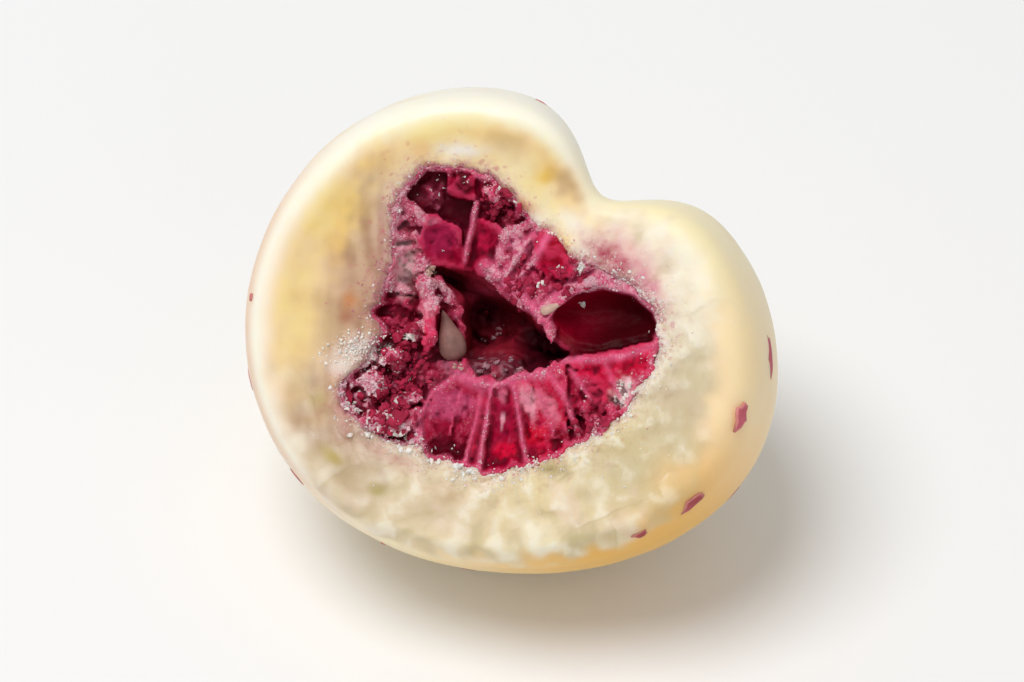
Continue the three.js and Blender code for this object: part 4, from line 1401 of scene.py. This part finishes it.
on_berry = np.hypot(x, y) < ring_edge(np.arctan2(y, x))
spilt = np.stack([x, y, np.where(on_berry, height(x, y), near_left[at, 2]) + 0.03], 1)
spots = np.concatenate([on_ring, fallen])
low_left = around(np.arctan2(spots[:, 1], spots[:, 0]), 225, 70)
size = 0.018 + 0.03 * rng.rand(len(spots)) + (0.035 + 0.07 * low_left) * rng.rand(len(spots)) ** 6
P1, f1 = grains(spots, size, rng, 0.5, 0.7)
spilt[:, 2] += 0.05 * rng.rand(n)
P2, f2 = grains(spilt, 0.020 + 0.060 * rng.rand(n) ** 3, rng, 0.4, 0.3)

# dust of the berry over the coating beside it
rows = n_rows - 1 - np.minimum((rng.exponential(5.5, 9000)).astype(int), n_rows - 30)
cols = rng.randint(0, FINE, 9000)
spot = F[rows, cols]
ang = np.arctan2(spot[:, 1], spot[:, 0])
dusted = np.maximum(np.maximum(around(ang, 140, 80), around(ang, 28, 40)), 0.12 + 0.4 * around(ang, 205, 40))
spot = spot[rng.rand(9000) < dusted * smooth(-0.5, 0.3, fractal(spot, 0.9, 321))]
spot = spot + 0.03 * rng.normal(size=spot.shape) * np.array([1, 1, 0.2])
P, faces = grains(spot, 0.009 + 0.016 * rng.rand(len(spot)) + 0.03 * rng.rand(len(spot)) ** 8, rng, 0.5, 0.7)
dust = add_mesh(
    "berry_dust", to_world(P), faces,
    plain_material("berry dust", linear(222, 138, 158), 0.8, 0.3, 3000.0, glow=0.1), flat=True,
)

# larger chips of coating and of pale flesh that lie on the berry
CHIPS = (
    # x, y, length, width, turn
    (2.26, 3.26, 0.50, 0.28, 20), (3.23, 3.26, 0.55, 0.40, 60), (1.38, 2.47, 0.42, 0.32, 45),
    (3.37, 1.59, 0.30, 0.42, 70), (-5.50, -3.00, 0.50, 0.30, 15), (-5.59, -4.06, 0.55, 0.35, -20),
    (-5.24, -4.59, 0.75, 0.42, -8), (-5.85, -3.75, 0.40, 0.30, 70), (-4.89, -1.94, 0.42, 0.20, 5),
    (-4.97, 0.00, 0.50, 0.36, -30), (2.20, 4.88, 1.30, 0.24, -6), (1.11, -5.85, 0.55, 0.34, 20),
    (-3.30, 4.10, 0.22, 0.16, 0), (-6.95, -0.20, 0.40, 0.24, 10),
    (-7.65, -0.45, 0.36, 0.24, -20), (-6.40, -0.55, 0.34, 0.24, 25),
    (-3.45, 6.75, 0.20, 0.16, 30), (-3.85, 6.95, 0.18, 0.14, 0), (-3.20, 7.05, 0.16, 0.12, 0),
    (-6.55, 2.05, 0.30, 0.22, 80), (-2.05, -6.35, 0.60, 0.40, 10), (-6.75, 0.25, 0.34, 0.24, 30),
    (-6.60, -0.95, 0.34, 0.24, -20), (-7.20, -1.05, 0.36, 0.26, 15), (-7.00, 0.75, 0.30, 0.22, 50),
    (-4.85, -2.05, 0.50, 0.22, 5), (-4.80, 0.10, 0.55, 0.40, -30),
)
parts = [(P1, f1), (P2, f2)]
for x, y, long, wide, deg in CHIPS:
    parts.append(clump(x, y, long, wide, deg, height, rng))
for x, y, long, wide, deg in (
    (5.05, -2.30, 0.80, 0.26, 78), (5.32, -2.75, 0.62, 0.24, 62), (4.88, -2.95, 0.50, 0.22, 100),
    (5.48, -2.20, 0.55, 0.24, 84), (5.70, -2.55, 0.40, 0.22, 50), (5.15, -3.10, 0.40, 0.20, 80),
):
    parts.append(clump(x, y, long, wide, deg, height, rng, 0.14))
P, faces = joined(parts)
coating_crumbs = add_mesh(
    "coating_crumbs", to_world(P), faces,
    plain_material("coating crumb", linear(255, 246, 236), 0.65, 0.08, glow=0.5), flat=True,
)

# broken bits of dried pulp, in the grainy parts and down in the slot
a = rng.rand(900) * 2 * math.pi
where = np.array([(-6.6, -2.7), (-5.2, -2.2), (-5.5, 0.6), (-4.9, -1.2), (-5.8, -3.4), (2.6, 3.0), (0.4, 2.5), (-0.5, 6.3), (4.2, -3.8), (-6.2, -3.9)])
spread = np.array([1.3, 0.9, 0.8, 0.9, 0.8, 0.8, 0.8, 0.7, 0.9, 1.1])
which = rng.randint(0, len(where), 900)
xy = where[which] + rng.normal(size=(900, 2)) * spread[which][:, None] * 0.6
inside = np.hypot(xy[:, 0], xy[:, 1]) < berry_outline(np.arctan2(xy[:, 1], xy[:, 0])) - 0.25
xy = xy[inside]
z = height(xy[:, 0], xy[:, 1])
P, faces = grains(
    np.stack([xy[:, 0], xy[:, 1], z + 0.01], 1), 0.05 + 0.17 * rng.rand(len(xy)) ** 2.5, rng, 0.5, 0.6
)
bits = add_mesh(
    "berry_bits", to_world(P), faces,
    plain_material("dried berry bit", linear(186, 34, 74), 0.7, 0.5, 3000.0, glow=0.1), flat=True,
)

# seeds, pale, in and beside the slot
P, faces = seed_shape(
    2.55, 1.36, 0.95, math.radians(106), math.radians(-5), (-2.94, 0.10, base_at(-2.94, 0.10) - 0.42)
)
seed_piece = add_mesh(
    "seeds", to_world(P), faces,
    plain_material("seed", linear(154, 110, 102), 0.55, 0.45, 1800.0, glow=0.2),
)
FLESH = (
    # x, y, length, width, turn
    (-0.60, 0.40, 0.85, 0.42, 75), (-0.95, -0.10, 0.40, 0.30, 20), (-1.38, -0.12, 0.50, 0.34, 35),
    (-1.20, -1.38, 0.50, 0.38, 80), (-0.72, -1.22, 0.36, 0.30, 0), (-1.55, -1.62, 0.34, 0.26, 0),
    (-0.35, -1.60, 0.36, 0.26, 0), (-1.50, -1.00, 0.34, 0.26, 0), (-0.10, -1.05, 0.32, 0.28, 40),
    (0.35, -1.50, 0.36, 0.26, 20), (-0.85, -1.75, 0.34, 0.24, 10),
)
parts = [clump(x, y, long, wide, deg, height, rng, 0.12) for x, y, long, wide, deg in FLESH]
P, faces = joined(parts)
deep_flesh = add_mesh(
    "flesh_in_slot", to_world(P), faces,
    plain_material("stained flesh", linear(184, 136, 146), 0.7, 0.4, 2500.0, glow=0.1), flat=True,
)
P, faces = joined([
    clump(-3.86, 3.12, 0.62, 0.52, -30, height, rng), clump(-2.55, -1.35, 0.60, 0.36, -20, height, rng),
    seed_shape(1.25, 0.46, 0.40, math.radians(24), math.radians(4), (1.90, 1.40, base_at(1.90, 1.40) + 0.16)),
])
pale_lump = add_mesh(
    "pale_lumps", to_world(P), faces,
    plain_material("pale flesh", linear(212, 176, 160), 0.65, 0.3, 2500.0, glow=0.15), flat=True,
)

flakes = make_flakes(
    plain_material("dried berry flake", None, 0.6, 0.5, 1500.0, glow=0.25), rng
)

for piece, slot in (
    (coating, "coating"), (coating_crumbs, "coating"), (powder, "coating"), (dust, "berry"), (berry, "berry"),
    (bits, "berry"), (seed_piece, "berry"), (deep_flesh, "berry"), (pale_lump, "berry"), (flakes, "berry"),
):
    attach(piece, "root")
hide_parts("yogurt_coating")
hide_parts("raspberry")

# ---------------------------------------------------------------- stage

mesh = bpy.data.meshes.new("floor")
mesh.from_pydata([(-2, -2, 0), (2, -2, 0), (2, 2, 0), (-2, 2, 0)], [], [(0, 1, 2, 3)])
m, nodes, links, shader = new_material("floor")
cloud = noise_node(nodes, links, 3.0, 2.0)
shade = ramp(nodes, links, cloud.outputs["Fac"], (0.3, 0.7, 0.0, 0.04))
tone = mix_colour(nodes, links, shade, (0.9, 0.9, 0.9, 1), (0.86, 0.86, 0.86, 1))
links.new(tone, shader.inputs["Base Color"])
shader.inputs["Roughness"].default_value = 0.9
shader.inputs["Specular IOR Level"].default_value = 0.1
mesh.materials.append(m)
floor = bpy.data.objects.new("floor", mesh)
bpy.context.scene.collection.objects.link(floor)

scene = bpy.context.scene
scene.view_settings.view_transform = "Standard"
scene.view_settings.look = "None"
world = bpy.data.worlds.new("studio")
scene.world = world
world.use_nodes = True
world.node_tree.nodes["Background"].inputs["Color"].default_value = (1.0, 1.0, 1.0, 1)
world.node_tree.nodes["Background"].inputs["Strength"].default_value = 0.44


def area_light(name, direction, distance, size, watts, colour=(1, 1, 1)):
    light = bpy.data.lights.new(name, "AREA")
    light.shape = "DISK"
    light.size = size
    light.energy = watts
    light.color = colour
    obj = bpy.data.objects.new(name, light)
    d = np.array(direction) / np.linalg.norm(direction)
    obj.location = tuple(d * distance + np.array([0, 0, 0.011]))
    obj.rotation_euler = Vector(tuple(d)).to_track_quat("Z", "Y").to_euler()
    scene.collection.objects.link(obj)
    return obj


area_light("key", (-0.28, -0.10, 0.92), 0.45, 0.26, 1.32)
area_light("fill", (0.45, -0.80, 0.40), 0.6, 0.5, 0.25)

camera = bpy.data.cameras.new("camera")
camera.lens = 200
camera.sensor_width = 36
camera.clip_start = 0.01
camera.clip_end = 10
view = bpy.data.objects.new("camera", camera)
scene.collection.objects.link(view)
PX_PER_MM = 21.0
width_mm = 1024 / PX_PER_MM
distance = width_mm * 0.001 * camera.lens / camera.sensor_width
look_at = np.array([OFFSET[0], OFFSET[1], OFFSET[2]]) * 0.001
back = np.array([0, -math.sin(TIP_BACK), math.cos(TIP_BACK)])
view.location = tuple(look_at + back * distance)
view.rotation_euler = (math.radians(45), 0, 0)
camera.shift_y = -0.0036
scene.camera = view
